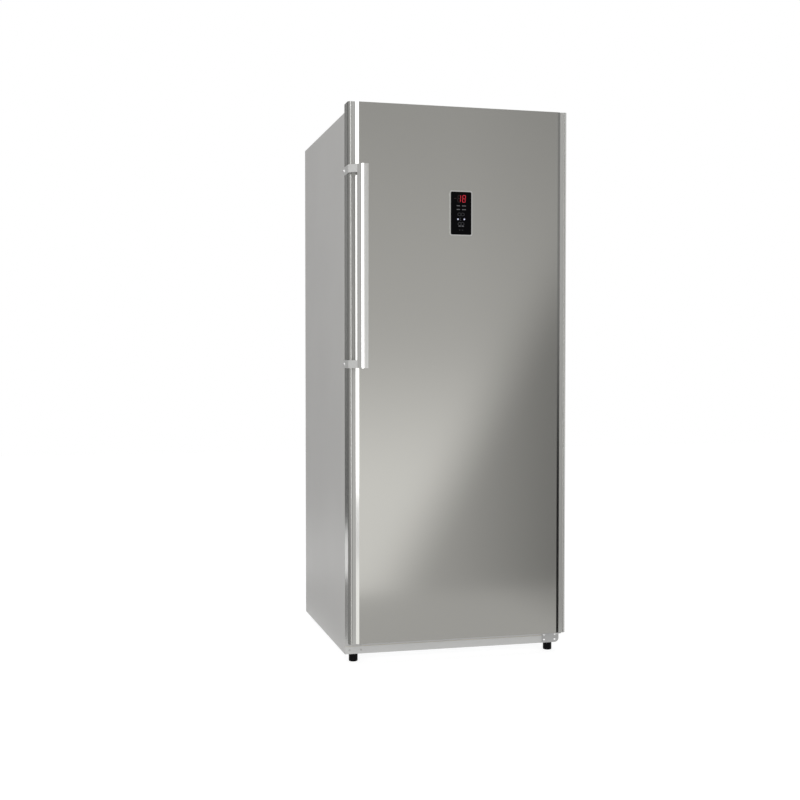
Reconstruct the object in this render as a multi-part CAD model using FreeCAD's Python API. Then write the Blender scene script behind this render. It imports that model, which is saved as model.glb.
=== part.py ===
import FreeCAD, Part
import math
import os

# Upright freezer with one full-height door. Millimetres, +Z up, the front faces -Y and +X is the
# viewer's right. The origin is on the floor, at the middle of the width and of the overall depth.

V = FreeCAD.Vector

# Overall sizes
WIDTH = 711.0              # over the door, 28 in
DEPTH = 810.0              # front of the handle to the back of the cabinet, 31.9 in
HEIGHT = 1727.0            # floor to the top edge of the door, 68 in

# Cabinet shell
SIDE_INSET = 1.0           # the cabinet is this much narrower than the door on each side
TOP_DROP = 24.0            # cabinet top below the door's top edge
FLOOR_GAP = 26.0           # floor to the lower edge of the cabinet
SHEET = 1.0                # painted sheet
FRAME_FACE = 34.0          # width of the front frame that the door seal rests on
FRAME_FOOT = 53.0          # height of the frame's lower crossbar face
RAIL_FACE = 23.5           # height of the kick rail's face
RAIL_SHEET = 1.2
RAIL_SHELF = 44.0          # depth of the kick rail's lower flange
RAIL_GAP = 0.8             # line between kick rail and crossbar
PAN_LIFT = 8.0             # bottom panel above the cabinet's lower edge

# Cabinet inside
SIDE_WALL = 54.5           # shell to cavity at the sides
TOP_WALL = 60.0
REAR_WALL = 75.0
FLOOR_WALL = 86.0          # cabinet's lower edge to the cavity floor
LINER = 2.0
MACHINE_DEPTH = 200.0      # machine space at the lower back
MACHINE_HEIGHT = 212.0     # cabinet's lower edge to the machine space's ceiling
STEP_WALL = 45.0           # insulation over and before the machine space
STEP_ROOF = 62.0
DUCT_DEPTH = 68.0          # cavity's back wall to the front of the air duct cover
DUCT_SHEET = 2.5

# Door
DOOR_LIFT = 70.0           # floor to the lower edge of the door
DOOR_DEPTH = 56.0
SEAL_GAP = 6.0             # door back to cabinet front
SEAL_CLEARANCE = 0.3
SEAL_WIDTH = 18.0
SEAL_INSET = 15.5          # shell side to the seal's outer edge
SKIN = 0.8                 # stainless sheet
SKIN_RETURN = 7.2
PROFILE_WIDTH = 33.0       # fluted edge profile across the front
COLUMN_RADIUS = 12.0
COLUMN_FLAT = 30.0         # degrees between the column's flat and the door's front
LIP_WIDTH = 3.0            # rounded lip at the column's inner edge
LIP_DROP = 0.5             # lip's two edges behind the door's front
FLUTE_STEP = 1.3           # width of the wall down into the flute
FLUTE_END = 23.5           # door side to the foot of the ridge
FLUTE_DEPTH = 3.6
FLUTE_FALL = 1.0           # how much deeper the flute is at the ridge
RIDGE_CROWN = 0.15         # rise of the ridge above its chord
PROFILE_WALL = 2.0
PROFILE_BACKING = 4.4
PROFILE_RETURN = 12.0
CAP_PLATE = 3.0
CAP_SKIRT = 28.0           # depth of the top cap
CAP_FOOT = 12.0            # depth of the bottom cap
CAP_WALL = 2.0
DIKE_INSET = 20.0          # cavity wall to the door liner's raised ring
DIKE_WIDTH = 40.0
DIKE_RISE = 30.0
DIKE_MARGIN = 21.0         # ring above the cavity floor and below its ceiling

# Hinges
HINGE_INSET = 15.5         # pin axis from the door's side
HINGE_SETBACK = 19.0       # pin axis from the door's back
PIN_RADIUS = 4.5
PIN_CLEARANCE = 0.05
PIN_IN_DOOR = 22.0
PIN_HEAD = 7.0
PIN_HEAD_HEIGHT = 2.6
COLLAR_RADIUS = 8.0
COLLAR_CLEARANCE = 0.2
BUSH_WALL = 3.5
BUSH_SEAT = 0.05
BOSS_WALL = 4.0
HINGE_PLATE = 3.0
ARM_HALF_WIDTH = 8.0
ARM_RISE = 5.0             # gap between the lower arm and the door
PLATE_WIDTH = 56.5         # lower bracket plate
PLATE_HEIGHT = 38.0
PLATE_CORNER = 13.0
CORNER_DEPTH = 24.0        # depth of the cut behind the plate's rounded corner
NOTCH_SIDE = 13.0          # room round the upper arm inside the door
NOTCH_FRONT = 19.0
NOTCH_DROP = 4.0           # notch floor below the cabinet top
UPPER_PLATE_WIDTH = 30.0
UPPER_PLATE_LENGTH = 90.0
COVER_WALL = 2.0
COVER_MARGIN = 2.5
COVER_HEIGHT = 21.0
COVER_CLEARANCE = 2.0

# Screws and plugs
SCREW_RADIUS = 2.5
SCREW_CLEARANCE = 0.15
SCREW_HEAD = 3.6
SCREW_HEAD_HEIGHT = 2.2
SCREW_LENGTH = 9.0
BRACKET_SCREW_PITCH_X = 36.4
BRACKET_SCREW_PITCH_Z = 16.0
BRACKET_SCREW_EDGE = 14.3  # from the cabinet side
BRACKET_SCREW_FOOT = 11.6  # from the cabinet's lower edge
PLUG_HEAD = 3.2
PLUG_HEAD_HEIGHT = 1.2

# Handle
BAR_LENGTH = 615.0
BAR_FOOT = 918.0           # floor to the lower end of the bar
BAR_INSET = 20.0           # door side to the bar's outer edge
BAR_WIDTH = 32.5
BAR_DEPTH = 18.0
BAR_SLANT = 13.5           # slanted outer face, across and deep
BAR_BEVEL = 6.0            # shallow bevel between the slant and the front
BAR_BEVEL_DEPTH = 2.3
BAR_GROOVE = 5.0
BAR_GROOVE_DEPTH = 1.5
BAR_EDGE = 2.5
STRAP = 3.0                # strap sheet
STRAP_HEIGHT = 24.0
STRAP_BACK = 2.0           # strap end before the door's back
TONGUE = 27.5
HANDLE_REACH = 50.0        # bar front ahead of the door front
HANDLE_SCREW_BACK = 9.0    # screw axis before the door's back
HANDLE_SCREW_HEAD = 4.5
HANDLE_SCREW_DOME = 3.0
HANDLE_SCREW_LENGTH = 14.0
BAR_SCREW_LENGTH = 10.0
BAR_SCREW_INSET = 12.0

# Control panel
PANEL_CENTRE_X = 2.0
PANEL_CENTRE_DROP = 328.5  # door's top edge to the panel's middle
BEZEL_WIDTH = 74.0
BEZEL_HEIGHT = 140.0
BEZEL_PROUD = 1.6
BEZEL_RIM = 3.6
BEZEL_LEDGE = 0.4
BEZEL_CORNER = 6.0
BEZEL_BOX_INSET = 4.0
BEZEL_BOX_WALL = 3.0
BEZEL_BOX_DEPTH = 16.0
BEZEL_FLOOR = 2.0
GLASS_CLEARANCE = 0.1

# Shelves, drawers and bins
SHELF_HEIGHTS = (386.0, 748.0, 1118.0)   # above the cavity floor
SHELF_GLASS = 5.0
SHELF_CLEARANCE = 3.0
SHELF_LEDGE = 11.0
LEDGE_HEIGHT = 6.0
TRIM_DEPTH = 18.0
TRIM_LIP = 3.0
TRIM_GRIP = 10.0
SHELF_FRONT = 107.0        # cabinet front to the shelf trim
DRAWER_FRONT = 118.0       # cabinet front to the drawer
DRAWER_LIFT = 8.0
DRAWER_SIDE = 20.0         # cavity wall to the drawer's side
DRAWER_RIM = 14.0
DRAWER_WALL = 2.5
DRAWER_FLOOR = 3.0
DRAWER_CORNER = 14.0
DRAWER_BACK_GAP = 10.0
LOWER_DRAWER_HEIGHT = 170.0
UPPER_DRAWER_HEIGHT = 175.0
DRAWER_LIP = 6.0
DRAWER_LIP_WIDTH = 180.0
DRAWER_LIP_HEIGHT = 8.0
RAIL_CLEARANCE = 0.3
RAIL_HEIGHT = 12.0
RAIL_THICKNESS = 3.0
BIN_HEIGHTS = (150.0, 110.0, 110.0, 110.0)
BIN_PITCH = 350.0
BIN_FOOT = 15.0            # above the ring's inner lower edge
BIN_DEPTH = 100.7
BIN_WALL = 2.5
BIN_FLOOR = 3.0
BIN_CORNER = 16.0
BIN_SIDE_CLEARANCE = 2.0
BIN_BACK_CLEARANCE = 0.3
LUG_REACH = 8.0
LUG_HEIGHT = 10.0
LUG_DEPTH = 25.0

# Cold side
FIN = 1.0
FIN_COUNT = 19
FIN_PITCH = 20.0
EVAPORATOR_FOOT = 313.0    # cavity floor to the lowest evaporator tube
EVAPORATOR_ROWS = 7
EVAPORATOR_PITCH = 40.0
EVAPORATOR_TUBE = 4.5
EVAPORATOR_BACK = 33.0     # tube axis from the cavity's back wall
EVAPORATOR_FIN_DEPTH = 46.0
FIN_MARGIN = 15.0
END_PLATE = 2.0
TUBE_CLEARANCE = 0.1
TUBE_OVERHANG = 6.0
HEATER_DROP = 45.0
HEATER_RADIUS = 4.0
HEATER_OVERHANG = 10.0
COLD_FAN_RISE = 120.0      # fan axis above the top evaporator tube
FAN_HUB = 12.0
FAN_BORE_CLEARANCE = 0.05
SHAFT_RADIUS = 2.5
COLD_FAN_RADIUS = 48.0
MOTOR_RADIUS = 24.0
MOTOR_LENGTH = 30.0
FAN_GAP = 3.0
FAN_DEPTH = 16.0
FAN_BLADES = 5
BLADE_PITCH = 32.0         # degrees
BLADE_SHEET = 1.8
VENT_LEVELS = (340.0, 700.0, 1070.0, 1430.0)   # above the cavity floor
VENT_PITCH = 100.0
VENT_LENGTH = 64.0
VENT_HEIGHT = 7.0
LIGHT_LENGTH = 150.0
LIGHT_DEPTH = 46.0
LIGHT_DROP = 9.0
LIGHT_BACK = 130.0         # cabinet front to the light's middle

# Machine space
BASE_SHEET = 2.0
COMPRESSOR_INSET = 179.5   # cabinet side to the compressor's axis
COMPRESSOR_RADIUS = 72.0
COMPRESSOR_HEIGHT = 137.0
COMPRESSOR_DOME = 30.0
SEAM_PROUD = 4.0
SEAM_HEIGHT = 6.0
FOOT_PLATE_X = 196.0
FOOT_PLATE_Y = 130.0
FOOT_PLATE = 3.0
GROMMET_RADIUS = 13.0
GROMMET_HEIGHT = 14.0
GROMMET_INSET = 15.0
STUD_RADIUS = 4.0
STUD_CLEARANCE = 0.3
STUD_ABOVE = 8.0
TERMINAL = 44.0
STUB_RADIUS = 4.0
STUB_LENGTH = 22.0
CONDENSER_INSET = 189.5    # other side to the condenser's middle
CONDENSER_FIN_COUNT = 16
CONDENSER_FIN_PITCH = 10.5
CONDENSER_ROWS = 8
CONDENSER_PITCH = 20.0
CONDENSER_TUBE = 3.5
CONDENSER_FIN_DEPTH = 84.0
CONDENSER_FOOT = 26.0      # base plate to the lowest tube
SHROUD_OFFSET = 125.0      # condenser's middle to the fan shroud
SHROUD_SHEET = 2.0
SHROUD_WIDTH = 160.0
SHROUD_HEIGHT = 188.0
SHROUD_CLEARANCE = 4.0
HOT_FAN_RADIUS = 58.0
HOT_FAN_RISE = 92.0        # fan axis above the base plate
ARM_SHEET = 4.0
TRAY_X = 150.0
TRAY_Y = 140.0
TRAY_HEIGHT = 22.0
TRAY_WALL = 2.0
BOX_X = 64.0
BOX_Y = 50.0
BOX_Z = 120.0
BOX_RISE = 45.0
BOX_EDGE = 10.0
COVER_SHEET = 1.5
SLOT_COUNT = 24
SLOT_PITCH = 24.0
SLOT_WIDTH = 5.0
SLOT_HEIGHT = 44.0
SLOT_ROWS = (30.0, 92.0)   # slot feet above the cover's lower edge
INLET_INSET = 36.5
INLET_RISE = 172.0
INLET_FLANGE = 13.0
INLET_NECK = 9.0
INLET_BORE = 5.0
INLET_LENGTH = 10.0
INLET_PROUD = 3.0

# Feet and rollers
FOOT_INSET = 30.5          # cabinet side to the foot axis
FOOT_BACK = 20.0           # foot axis behind the cabinet front
FOOT_RADIUS = 14.0
FOOT_EDGE = 3.0
SHANK_RADIUS = 5.0
SHANK_CLEARANCE = 0.05
SHANK_ABOVE = 36.0
NUT_RADIUS = 9.0
POCKET_RADIUS = 13.0
ROLLER_INSET = 54.5
ROLLER_BACK = 35.0         # roller axis before the cabinet back
ROLLER_RADIUS = 14.0
ROLLER_WIDTH = 18.0
ROLLER_SIDE_CLEARANCE = 0.5
AXLE_RADIUS = 3.0
CHEEK = 2.0
CHEEK_HALF_DEPTH = 11.0
CHEEK_TOP = 2.0

# Places worked out from the sizes
X_DOOR = WIDTH / 2
X_SHELL = X_DOOR - SIDE_INSET
X_INNER = X_SHELL - SHEET
X_CAVITY = X_SHELL - SIDE_WALL
Y_BACK = DEPTH / 2
Y_DOOR = -DEPTH / 2 + HANDLE_REACH
Y_DOOR_BACK = Y_DOOR + DOOR_DEPTH
Y_FRONT = Y_DOOR_BACK + SEAL_GAP
Y_CAVITY = Y_BACK - REAR_WALL
Y_MACHINE = Y_BACK - MACHINE_DEPTH
Y_STEP = Y_MACHINE - STEP_WALL
Y_DUCT = Y_CAVITY - DUCT_DEPTH
Z_SHELL = HEIGHT - TOP_DROP
Z_PAN = FLOOR_GAP + PAN_LIFT
Z_RAIL = FLOOR_GAP + RAIL_FACE
Z_BAR = Z_RAIL + RAIL_GAP
Z_FRAME = Z_BAR + FRAME_FOOT
Z_FLOOR = FLOOR_GAP + FLOOR_WALL
Z_CEILING = Z_SHELL - TOP_WALL
Z_MACHINE = FLOOR_GAP + MACHINE_HEIGHT
Z_STEP = Z_MACHINE + STEP_ROOF
Z_BASE = Z_PAN + BASE_SHEET
X_HINGE = X_DOOR - HINGE_INSET
Y_HINGE = Y_DOOR_BACK - HINGE_SETBACK
Z_ARM = DOOR_LIFT - ARM_RISE
Z_NOTCH = Z_SHELL - NOTCH_DROP
PROFILE_INNER = FLUTE_DEPTH + PROFILE_BACKING
X_SKIN = X_DOOR - PROFILE_WIDTH
Y_LINER = Y_DOOR_BACK - LINER
X_DIKE = X_CAVITY - DIKE_INSET
Z_DIKE = (Z_FLOOR + DIKE_MARGIN, Z_CEILING - DIKE_MARGIN)
X_SEAL = X_SHELL - SEAL_INSET
Y_MACHINE_MID = (Y_MACHINE + Y_BACK) / 2
FOOT_X = X_SHELL - FOOT_INSET
ROLLER_X = X_SHELL - ROLLER_INSET
INLET_X = X_SHELL - INLET_INSET
COMPRESSOR_X = COMPRESSOR_INSET - X_SHELL
CONDENSER_X = X_SHELL - CONDENSER_INSET
SHROUD_X = CONDENSER_X - SHROUD_OFFSET


def block(x0, x1, y0, y1, z0, z1):
    return Part.makeBox(x1 - x0, y1 - y0, z1 - z0, V(x0, y0, z0))


def slab(half_x, y0, y1, z0, z1):
    """A box centred on the width."""
    return block(-half_x, half_x, y0, y1, z0, z1)


def rod(x, y, z, axis, radius, length):
    return Part.makeCylinder(radius, length, V(x, y, z), V(*axis))


def join(first, *others):
    return first.fuse(list(others)).removeSplitter()


def column(points, z0, z1):
    """A straight-sided outline in plan, raised from z0 to z1."""
    loop = Part.makePolygon([V(x, y, z0) for x, y in points + points[:1]])
    return Part.Face(loop).extrude(V(0, 0, z1 - z0))


def upright_edges(shape):
    """Edges along Z."""
    return [e for e in shape.Edges if e.BoundBox.XLength < 0.01 and e.BoundBox.YLength < 0.01]


def rounded_uprights(shape, radius):
    return shape.makeFillet(radius, upright_edges(shape))


def rounded_plate(width, height, x, z, y0, y1, corner):
    """An upright plate facing the front, with round corners."""
    plate = block(x - width / 2, x + width / 2, y0, y1, z - height / 2, z + height / 2)
    along = [e for e in plate.Edges if e.BoundBox.YLength > 0.9 * (y1 - y0)
             and e.BoundBox.XLength < 0.01 and e.BoundBox.ZLength < 0.01]
    return plate.makeFillet(corner, along)


def tub(half_x, y0, y1, z0, z1, wall, floor, corner):
    """An open box with round corners."""
    outer = rounded_uprights(slab(half_x, y0, y1, z0, z1), corner)
    hollow = slab(half_x - wall, y0 + wall, y1 - wall, z0 + floor, z1 + floor)
    return outer.cut(rounded_uprights(hollow, corner - wall))


def serpentine(x_half, y, z0, rows, pitch, radius, overhang):
    """One tube in an upright plane: straight rows along X with a half-round bend at alternate ends."""
    bend = pitch / 2
    edges = []
    side = 1
    x_start = -x_half - overhang
    for row in range(rows):
        z = z0 + row * pitch
        last = row == rows - 1
        x_end = side * (x_half + (overhang if last else 0))
        edges.append(Part.LineSegment(V(x_start, y, z), V(x_end, y, z)).toShape())
        if not last:
            middle = V(x_end + side * bend, y, z + bend)
            edges.append(Part.Arc(V(x_end, y, z), middle, V(x_end, y, z + pitch)).toShape())
        x_start = x_end
        side = -side
    mouth = Part.Wire(Part.makeCircle(radius, V(-x_half - overhang, y, z0), V(1, 0, 0)))
    return Part.Wire(edges).makePipeShell([mouth], True, False)


def fin_stack(x_mid, y, depth, z0, z1, count, pitch, sheet, tube_rows, hole):
    """Flat fins across X, holed for the tube rows."""
    fins = []
    for i in range(count):
        x = x_mid + (i - (count - 1) / 2) * pitch
        fin = block(x - sheet / 2, x + sheet / 2, y - depth / 2, y + depth / 2, z0, z1)
        fins.append(fin.cut([rod(x - sheet, y, z, (1, 0, 0), hole, 2 * sheet) for z in tube_rows]))
    return fins


def fan(bore, hub, radius, depth, blades):
    """A fan about the Z axis through the origin, from z 0 to depth."""
    wheel = Part.makeCylinder(hub, depth)
    span = radius - hub / 2
    for i in range(blades):
        blade = block(hub / 2, radius, -hub * 0.9, hub * 0.9, -BLADE_SHEET / 2, BLADE_SHEET / 2)
        blade.rotate(V(0, 0, 0), V(1, 0, 0), BLADE_PITCH)
        blade.translate(V(0, 0, depth / 2))
        blade.rotate(V(0, 0, 0), V(0, 0, 1), i * 360.0 / blades)
        wheel = wheel.fuse(blade)
    ring = Part.makeCylinder(radius, depth).cut(Part.makeCylinder(hub / 2, depth))
    wheel = wheel.common(ring.fuse(Part.makeCylinder(hub, depth)))
    return wheel.cut(Part.makeCylinder(bore, span, V(0, 0, -1))).removeSplitter()


def pan_screw(x, y, z, axis, radius, length, head, head_height):
    """A screw with its head's underside at the point and its shank along axis."""
    direction = V(*axis)
    shank = Part.makeCylinder(radius, length, V(x, y, z), direction)
    crown = Part.makeCylinder(head, head_height, V(x, y, z), direction * -1)
    far = V(x, y, z) - direction * head_height
    rim = [e for e in crown.Edges if e.Closed and (e.CenterOfMass - far).Length < 0.01]
    return join(shank, crown.makeFillet(head_height * 0.7, rim))


# ---------------------------------------------------------------- cabinet

def foot_axes():
    return [(side * FOOT_X, Y_FRONT + FOOT_BACK) for side in (-1, 1)]


def bracket_screws(side):
    """X and Z of the four lower bracket screws on one side."""
    outer = X_SHELL - BRACKET_SCREW_EDGE
    low = FLOOR_GAP + BRACKET_SCREW_FOOT
    return [(side * x, z) for x in (outer, outer - BRACKET_SCREW_PITCH_X)
            for z in (low, low + BRACKET_SCREW_PITCH_Z)]


def front_holes(shape):
    """Cuts the lower bracket's screw holes, and the spare ones on the other side."""
    reach = 3 * RAIL_SHEET
    for side in (-1, 1):
        for x, z in bracket_screws(side):
            shape = shape.cut(rod(x, Y_FRONT - reach, z, (0, 1, 0), SCREW_RADIUS + SCREW_CLEARANCE,
                                  2 * reach))
    return shape


def bracket_corner():
    """What shell and rail leave free behind the lower bracket's rounded corner."""
    x, z = X_SHELL - PLATE_CORNER, FLOOR_GAP + PLATE_CORNER
    square = block(x, X_SHELL + 1, Y_FRONT - 1, Y_FRONT + CORNER_DEPTH, FLOOR_GAP - 1, z)
    return square.cut(rod(x, Y_FRONT - 2, z, (0, 1, 0), PLATE_CORNER, CORNER_DEPTH + 3))


def upper_plate_screws():
    """X and Y of the three screws in the upper hinge plate."""
    x = X_SHELL - UPPER_PLATE_WIDTH / 2
    return [(x, Y_FRONT + UPPER_PLATE_LENGTH * share) for share in (0.22, 0.52, 0.82)]


def outer_shell():
    wrap = slab(X_SHELL, Y_FRONT, Y_BACK, FLOOR_GAP, Z_SHELL)
    wrap = wrap.cut(slab(X_INNER, Y_FRONT - 1, Y_BACK + 1, FLOOR_GAP - 1, Z_SHELL - SHEET))
    face = slab(X_SHELL, Y_FRONT, Y_FRONT + SHEET, Z_BAR, Z_SHELL)
    mouth = slab(X_SHELL - FRAME_FACE, Y_FRONT - 1, Y_FRONT + SHEET + 1, Z_FRAME, Z_SHELL - FRAME_FACE)
    shell = front_holes(join(wrap, face.cut(mouth))).cut(bracket_corner())
    for x, y in upper_plate_screws():
        shell = shell.cut(rod(x, y, Z_SHELL - 2 * SHEET, (0, 0, 1), SCREW_RADIUS + SCREW_CLEARANCE,
                              3 * SHEET))
    return shell


def back_panel():
    return slab(X_INNER, Y_BACK - SHEET, Y_BACK, Z_MACHINE + SHEET, Z_SHELL - SHEET)


def cavity(grow=0.0):
    """The storage space, with the step over the machine space, grown outwards by a wall."""
    space = slab(X_CAVITY + grow, Y_FRONT - 1, Y_CAVITY + grow, Z_FLOOR - grow, Z_CEILING + grow)
    step = slab(X_CAVITY + 2 * grow + 1, Y_STEP + grow, Y_CAVITY + 2 * grow + 1,
                Z_FLOOR - 2 * grow - 1, Z_STEP - grow)
    return space.cut(step)


def liner_flange():
    return slab(X_SHELL - FRAME_FACE, Y_FRONT, Y_FRONT + LINER, Z_FRAME, Z_SHELL - FRAME_FACE)


def shelf_levels():
    return [Z_FLOOR + h for h in SHELF_HEIGHTS]


def inner_liner():
    front = slab(X_SHELL, Y_FRONT - 2, Y_FRONT, FLOOR_GAP, Z_SHELL)
    liner = cavity(LINER).cut(front).fuse(liner_flange()).cut(cavity())
    for z in shelf_levels():
        for side in (-1, 1):
            edge = sorted((side * (X_CAVITY - SHELF_LEDGE), side * (X_CAVITY + LINER / 2)))
            liner = liner.fuse(block(*edge, Y_FRONT + SHELF_FRONT + 2 * TRIM_DEPTH, Y_DUCT,
                                     z - LEDGE_HEIGHT, z))
    return liner.removeSplitter()


def bottom_panel():
    y0 = Y_FRONT + RAIL_SHEET
    floor = slab(X_INNER, y0, Y_MACHINE, Z_PAN, Z_PAN + SHEET)
    riser = slab(X_INNER, Y_MACHINE - SHEET, Y_MACHINE, Z_PAN, Z_MACHINE + SHEET)
    roof = slab(X_INNER, Y_MACHINE - SHEET, Y_BACK, Z_MACHINE, Z_MACHINE + SHEET)
    panel = join(floor, riser, roof)
    for x, y in foot_axes():
        panel = panel.cut(rod(x, y, Z_PAN - 1, (0, 0, 1), SHANK_RADIUS + 1, SHEET + 2))
    return panel


def kick_rail():
    face = slab(X_INNER, Y_FRONT, Y_FRONT + RAIL_SHEET, FLOOR_GAP, Z_RAIL)
    shelf = slab(X_INNER, Y_FRONT, Y_FRONT + RAIL_SHELF, FLOOR_GAP, FLOOR_GAP + RAIL_SHEET)
    rail = join(face, shelf, *[rod(x, y, FLOOR_GAP, (0, 0, 1), NUT_RADIUS, PAN_LIFT)
                               for x, y in foot_axes()])
    for x, y in foot_axes():
        rail = rail.cut(rod(x, y, FLOOR_GAP - 1, (0, 0, 1), SHANK_RADIUS + SHANK_CLEARANCE, PAN_LIFT + 2))
    return front_holes(rail).cut(bracket_corner())


def cabinet_foam():
    """Foamed in place: everything between shell and liner outside the machine space."""
    body = slab(X_INNER, Y_FRONT + SHEET, Y_BACK - SHEET, Z_PAN + SHEET, Z_SHELL - SHEET)
    machine = slab(X_INNER + 1, Y_MACHINE - SHEET, Y_BACK + 1, FLOOR_GAP, Z_MACHINE + SHEET)
    rail = slab(X_INNER + 1, Y_FRONT, Y_FRONT + RAIL_SHEET, FLOOR_GAP, Z_RAIL)
    foam = body.cut([cavity(LINER), liner_flange(), machine, rail])
    for x, y in foot_axes():
        foam = foam.cut(rod(x, y, FLOOR_GAP, (0, 0, 1), POCKET_RADIUS, SHANK_ABOVE + 2))
    for side in (-1, 1):
        for x, z in bracket_screws(side):
            foam = foam.cut(rod(x, Y_FRONT, z, (0, 1, 0), SCREW_RADIUS + SCREW_CLEARANCE, SCREW_LENGTH + 1))
    for x, y in upper_plate_screws():
        foam = foam.cut(rod(x, y, Z_SHELL, (0, 0, -1), SCREW_RADIUS + SCREW_CLEARANCE, SCREW_LENGTH + 1))
    return foam


def hinge_bracket_lower():
    """Plate on the kick rail with an arm under the door."""
    x1 = X_SHELL
    x0 = x1 - PLATE_WIDTH
    plate = block(x0, x1, Y_FRONT - HINGE_PLATE, Y_FRONT, Z_ARM - PLATE_HEIGHT, Z_ARM)
    corner = [e for e in plate.Edges if e.BoundBox.YLength > 0.9 * HINGE_PLATE
              and abs(e.CenterOfMass.x - x1) < 0.1 and e.CenterOfMass.z < Z_ARM - 1]
    plate = plate.makeFillet(PLATE_CORNER, corner)
    reach = X_SHELL - X_HINGE
    arm = block(X_HINGE - reach, X_HINGE + reach, Y_HINGE, Y_FRONT, Z_ARM - HINGE_PLATE, Z_ARM)
    nose = rod(X_HINGE, Y_HINGE, Z_ARM - HINGE_PLATE, (0, 0, 1), reach, HINGE_PLATE)
    bracket = join(plate, arm, nose)
    for x, z in bracket_screws(1):
        bracket = bracket.cut(rod(x, Y_FRONT - 2 * HINGE_PLATE, z, (0, 1, 0),
                                  SCREW_RADIUS + SCREW_CLEARANCE, 3 * HINGE_PLATE))
    return bracket.cut(rod(X_HINGE, Y_HINGE, Z_ARM - 2 * HINGE_PLATE, (0, 0, 1),
                           PIN_RADIUS + PIN_CLEARANCE, 3 * HINGE_PLATE))


def hinge_bracket_upper():
    """Plate on the cabinet top with an arm into the door's notch."""
    plate = block(X_SHELL - UPPER_PLATE_WIDTH, X_SHELL, Y_FRONT, Y_FRONT + UPPER_PLATE_LENGTH,
                  Z_SHELL, Z_SHELL + HINGE_PLATE)
    arm = block(X_HINGE - ARM_HALF_WIDTH, X_HINGE + ARM_HALF_WIDTH, Y_HINGE, Y_FRONT + 1,
                Z_SHELL, Z_SHELL + HINGE_PLATE)
    nose = rod(X_HINGE, Y_HINGE, Z_SHELL, (0, 0, 1), ARM_HALF_WIDTH, HINGE_PLATE)
    bracket = join(plate, arm, nose)
    for x, y in upper_plate_screws():
        bracket = bracket.cut(rod(x, y, Z_SHELL - 1, (0, 0, 1), SCREW_RADIUS + SCREW_CLEARANCE,
                                  HINGE_PLATE + 2))
    return bracket.cut(rod(X_HINGE, Y_HINGE, Z_SHELL - 1, (0, 0, 1), PIN_RADIUS + PIN_CLEARANCE,
                           HINGE_PLATE + 2))


def hinge_pins():
    lower = join(rod(X_HINGE, Y_HINGE, Z_ARM - HINGE_PLATE, (0, 0, 1), PIN_RADIUS,
                     HINGE_PLATE + ARM_RISE + PIN_IN_DOOR),
                 rod(X_HINGE, Y_HINGE, Z_ARM - HINGE_PLATE, (0, 0, -1), PIN_HEAD, PIN_HEAD_HEIGHT),
                 rod(X_HINGE, Y_HINGE, Z_ARM, (0, 0, 1), COLLAR_RADIUS, ARM_RISE - COLLAR_CLEARANCE))
    top = Z_SHELL + HINGE_PLATE
    upper = join(rod(X_HINGE, Y_HINGE, top, (0, 0, -1), PIN_RADIUS,
                     HINGE_PLATE + NOTCH_DROP + PIN_IN_DOOR),
                 rod(X_HINGE, Y_HINGE, top, (0, 0, 1), PIN_HEAD, PIN_HEAD_HEIGHT))
    return [lower, upper]


def hinge_screws():
    y = Y_FRONT - HINGE_PLATE
    screws = [pan_screw(x, y, z, (0, 1, 0), SCREW_RADIUS, SCREW_LENGTH, SCREW_HEAD, SCREW_HEAD_HEIGHT)
              for x, z in bracket_screws(1)]
    z = Z_SHELL + HINGE_PLATE
    return screws + [pan_screw(x, y, z, (0, 0, -1), SCREW_RADIUS, SCREW_LENGTH, SCREW_HEAD,
                               SCREW_HEAD_HEIGHT) for x, y in upper_plate_screws()]


def hole_plugs():
    return [pan_screw(x, Y_FRONT, z, (0, 1, 0), SCREW_RADIUS, SCREW_LENGTH / 2, PLUG_HEAD, PLUG_HEAD_HEIGHT)
            for x, z in bracket_screws(-1)]


def hinge_cover():
    x0, x1 = X_SHELL - UPPER_PLATE_WIDTH - COVER_MARGIN - COVER_WALL, X_SHELL
    y0 = Y_FRONT + COVER_CLEARANCE
    y1 = Y_FRONT + UPPER_PLATE_LENGTH + COVER_MARGIN + COVER_WALL
    lid = rounded_uprights(block(x0, x1, y0, y1, Z_SHELL, Z_SHELL + COVER_HEIGHT), COVER_MARGIN)
    room = block(x0 + COVER_WALL, x1 - COVER_WALL, y0 + COVER_WALL, y1 - COVER_WALL,
                 Z_SHELL - 1, Z_SHELL + COVER_HEIGHT - COVER_WALL)
    plate = block(X_SHELL - UPPER_PLATE_WIDTH, X_SHELL + 1, Y_FRONT - 1, Y_FRONT + UPPER_PLATE_LENGTH,
                  Z_SHELL - 1, Z_SHELL + HINGE_PLATE)
    return lid.cut([room, plate])


def shelf_span():
    """Front and back of the shelf glass."""
    return Y_FRONT + SHELF_FRONT + TRIM_DEPTH - TRIM_GRIP, Y_DUCT - SHELF_CLEARANCE


def glass_shelf(z):
    y0, y1 = shelf_span()
    return slab(X_CAVITY - SHELF_CLEARANCE, y0, y1, z, z + SHELF_GLASS)


def shelf_trims():
    trims = []
    y0 = Y_FRONT + SHELF_FRONT
    for z in shelf_levels():
        bar = slab(X_CAVITY - SHELF_CLEARANCE, y0, y0 + TRIM_DEPTH,
                   z - TRIM_LIP, z + SHELF_GLASS + TRIM_LIP)
        front = [e for e in bar.Edges if e.BoundBox.XLength > X_CAVITY and abs(e.CenterOfMass.y - y0) < 0.1]
        bar = bar.makeFillet(TRIM_LIP, front)
        slot = slab(X_CAVITY, shelf_span()[0], y0 + TRIM_DEPTH + 1, z, z + SHELF_GLASS)
        trims.append(bar.cut(slot))
    return trims


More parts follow.
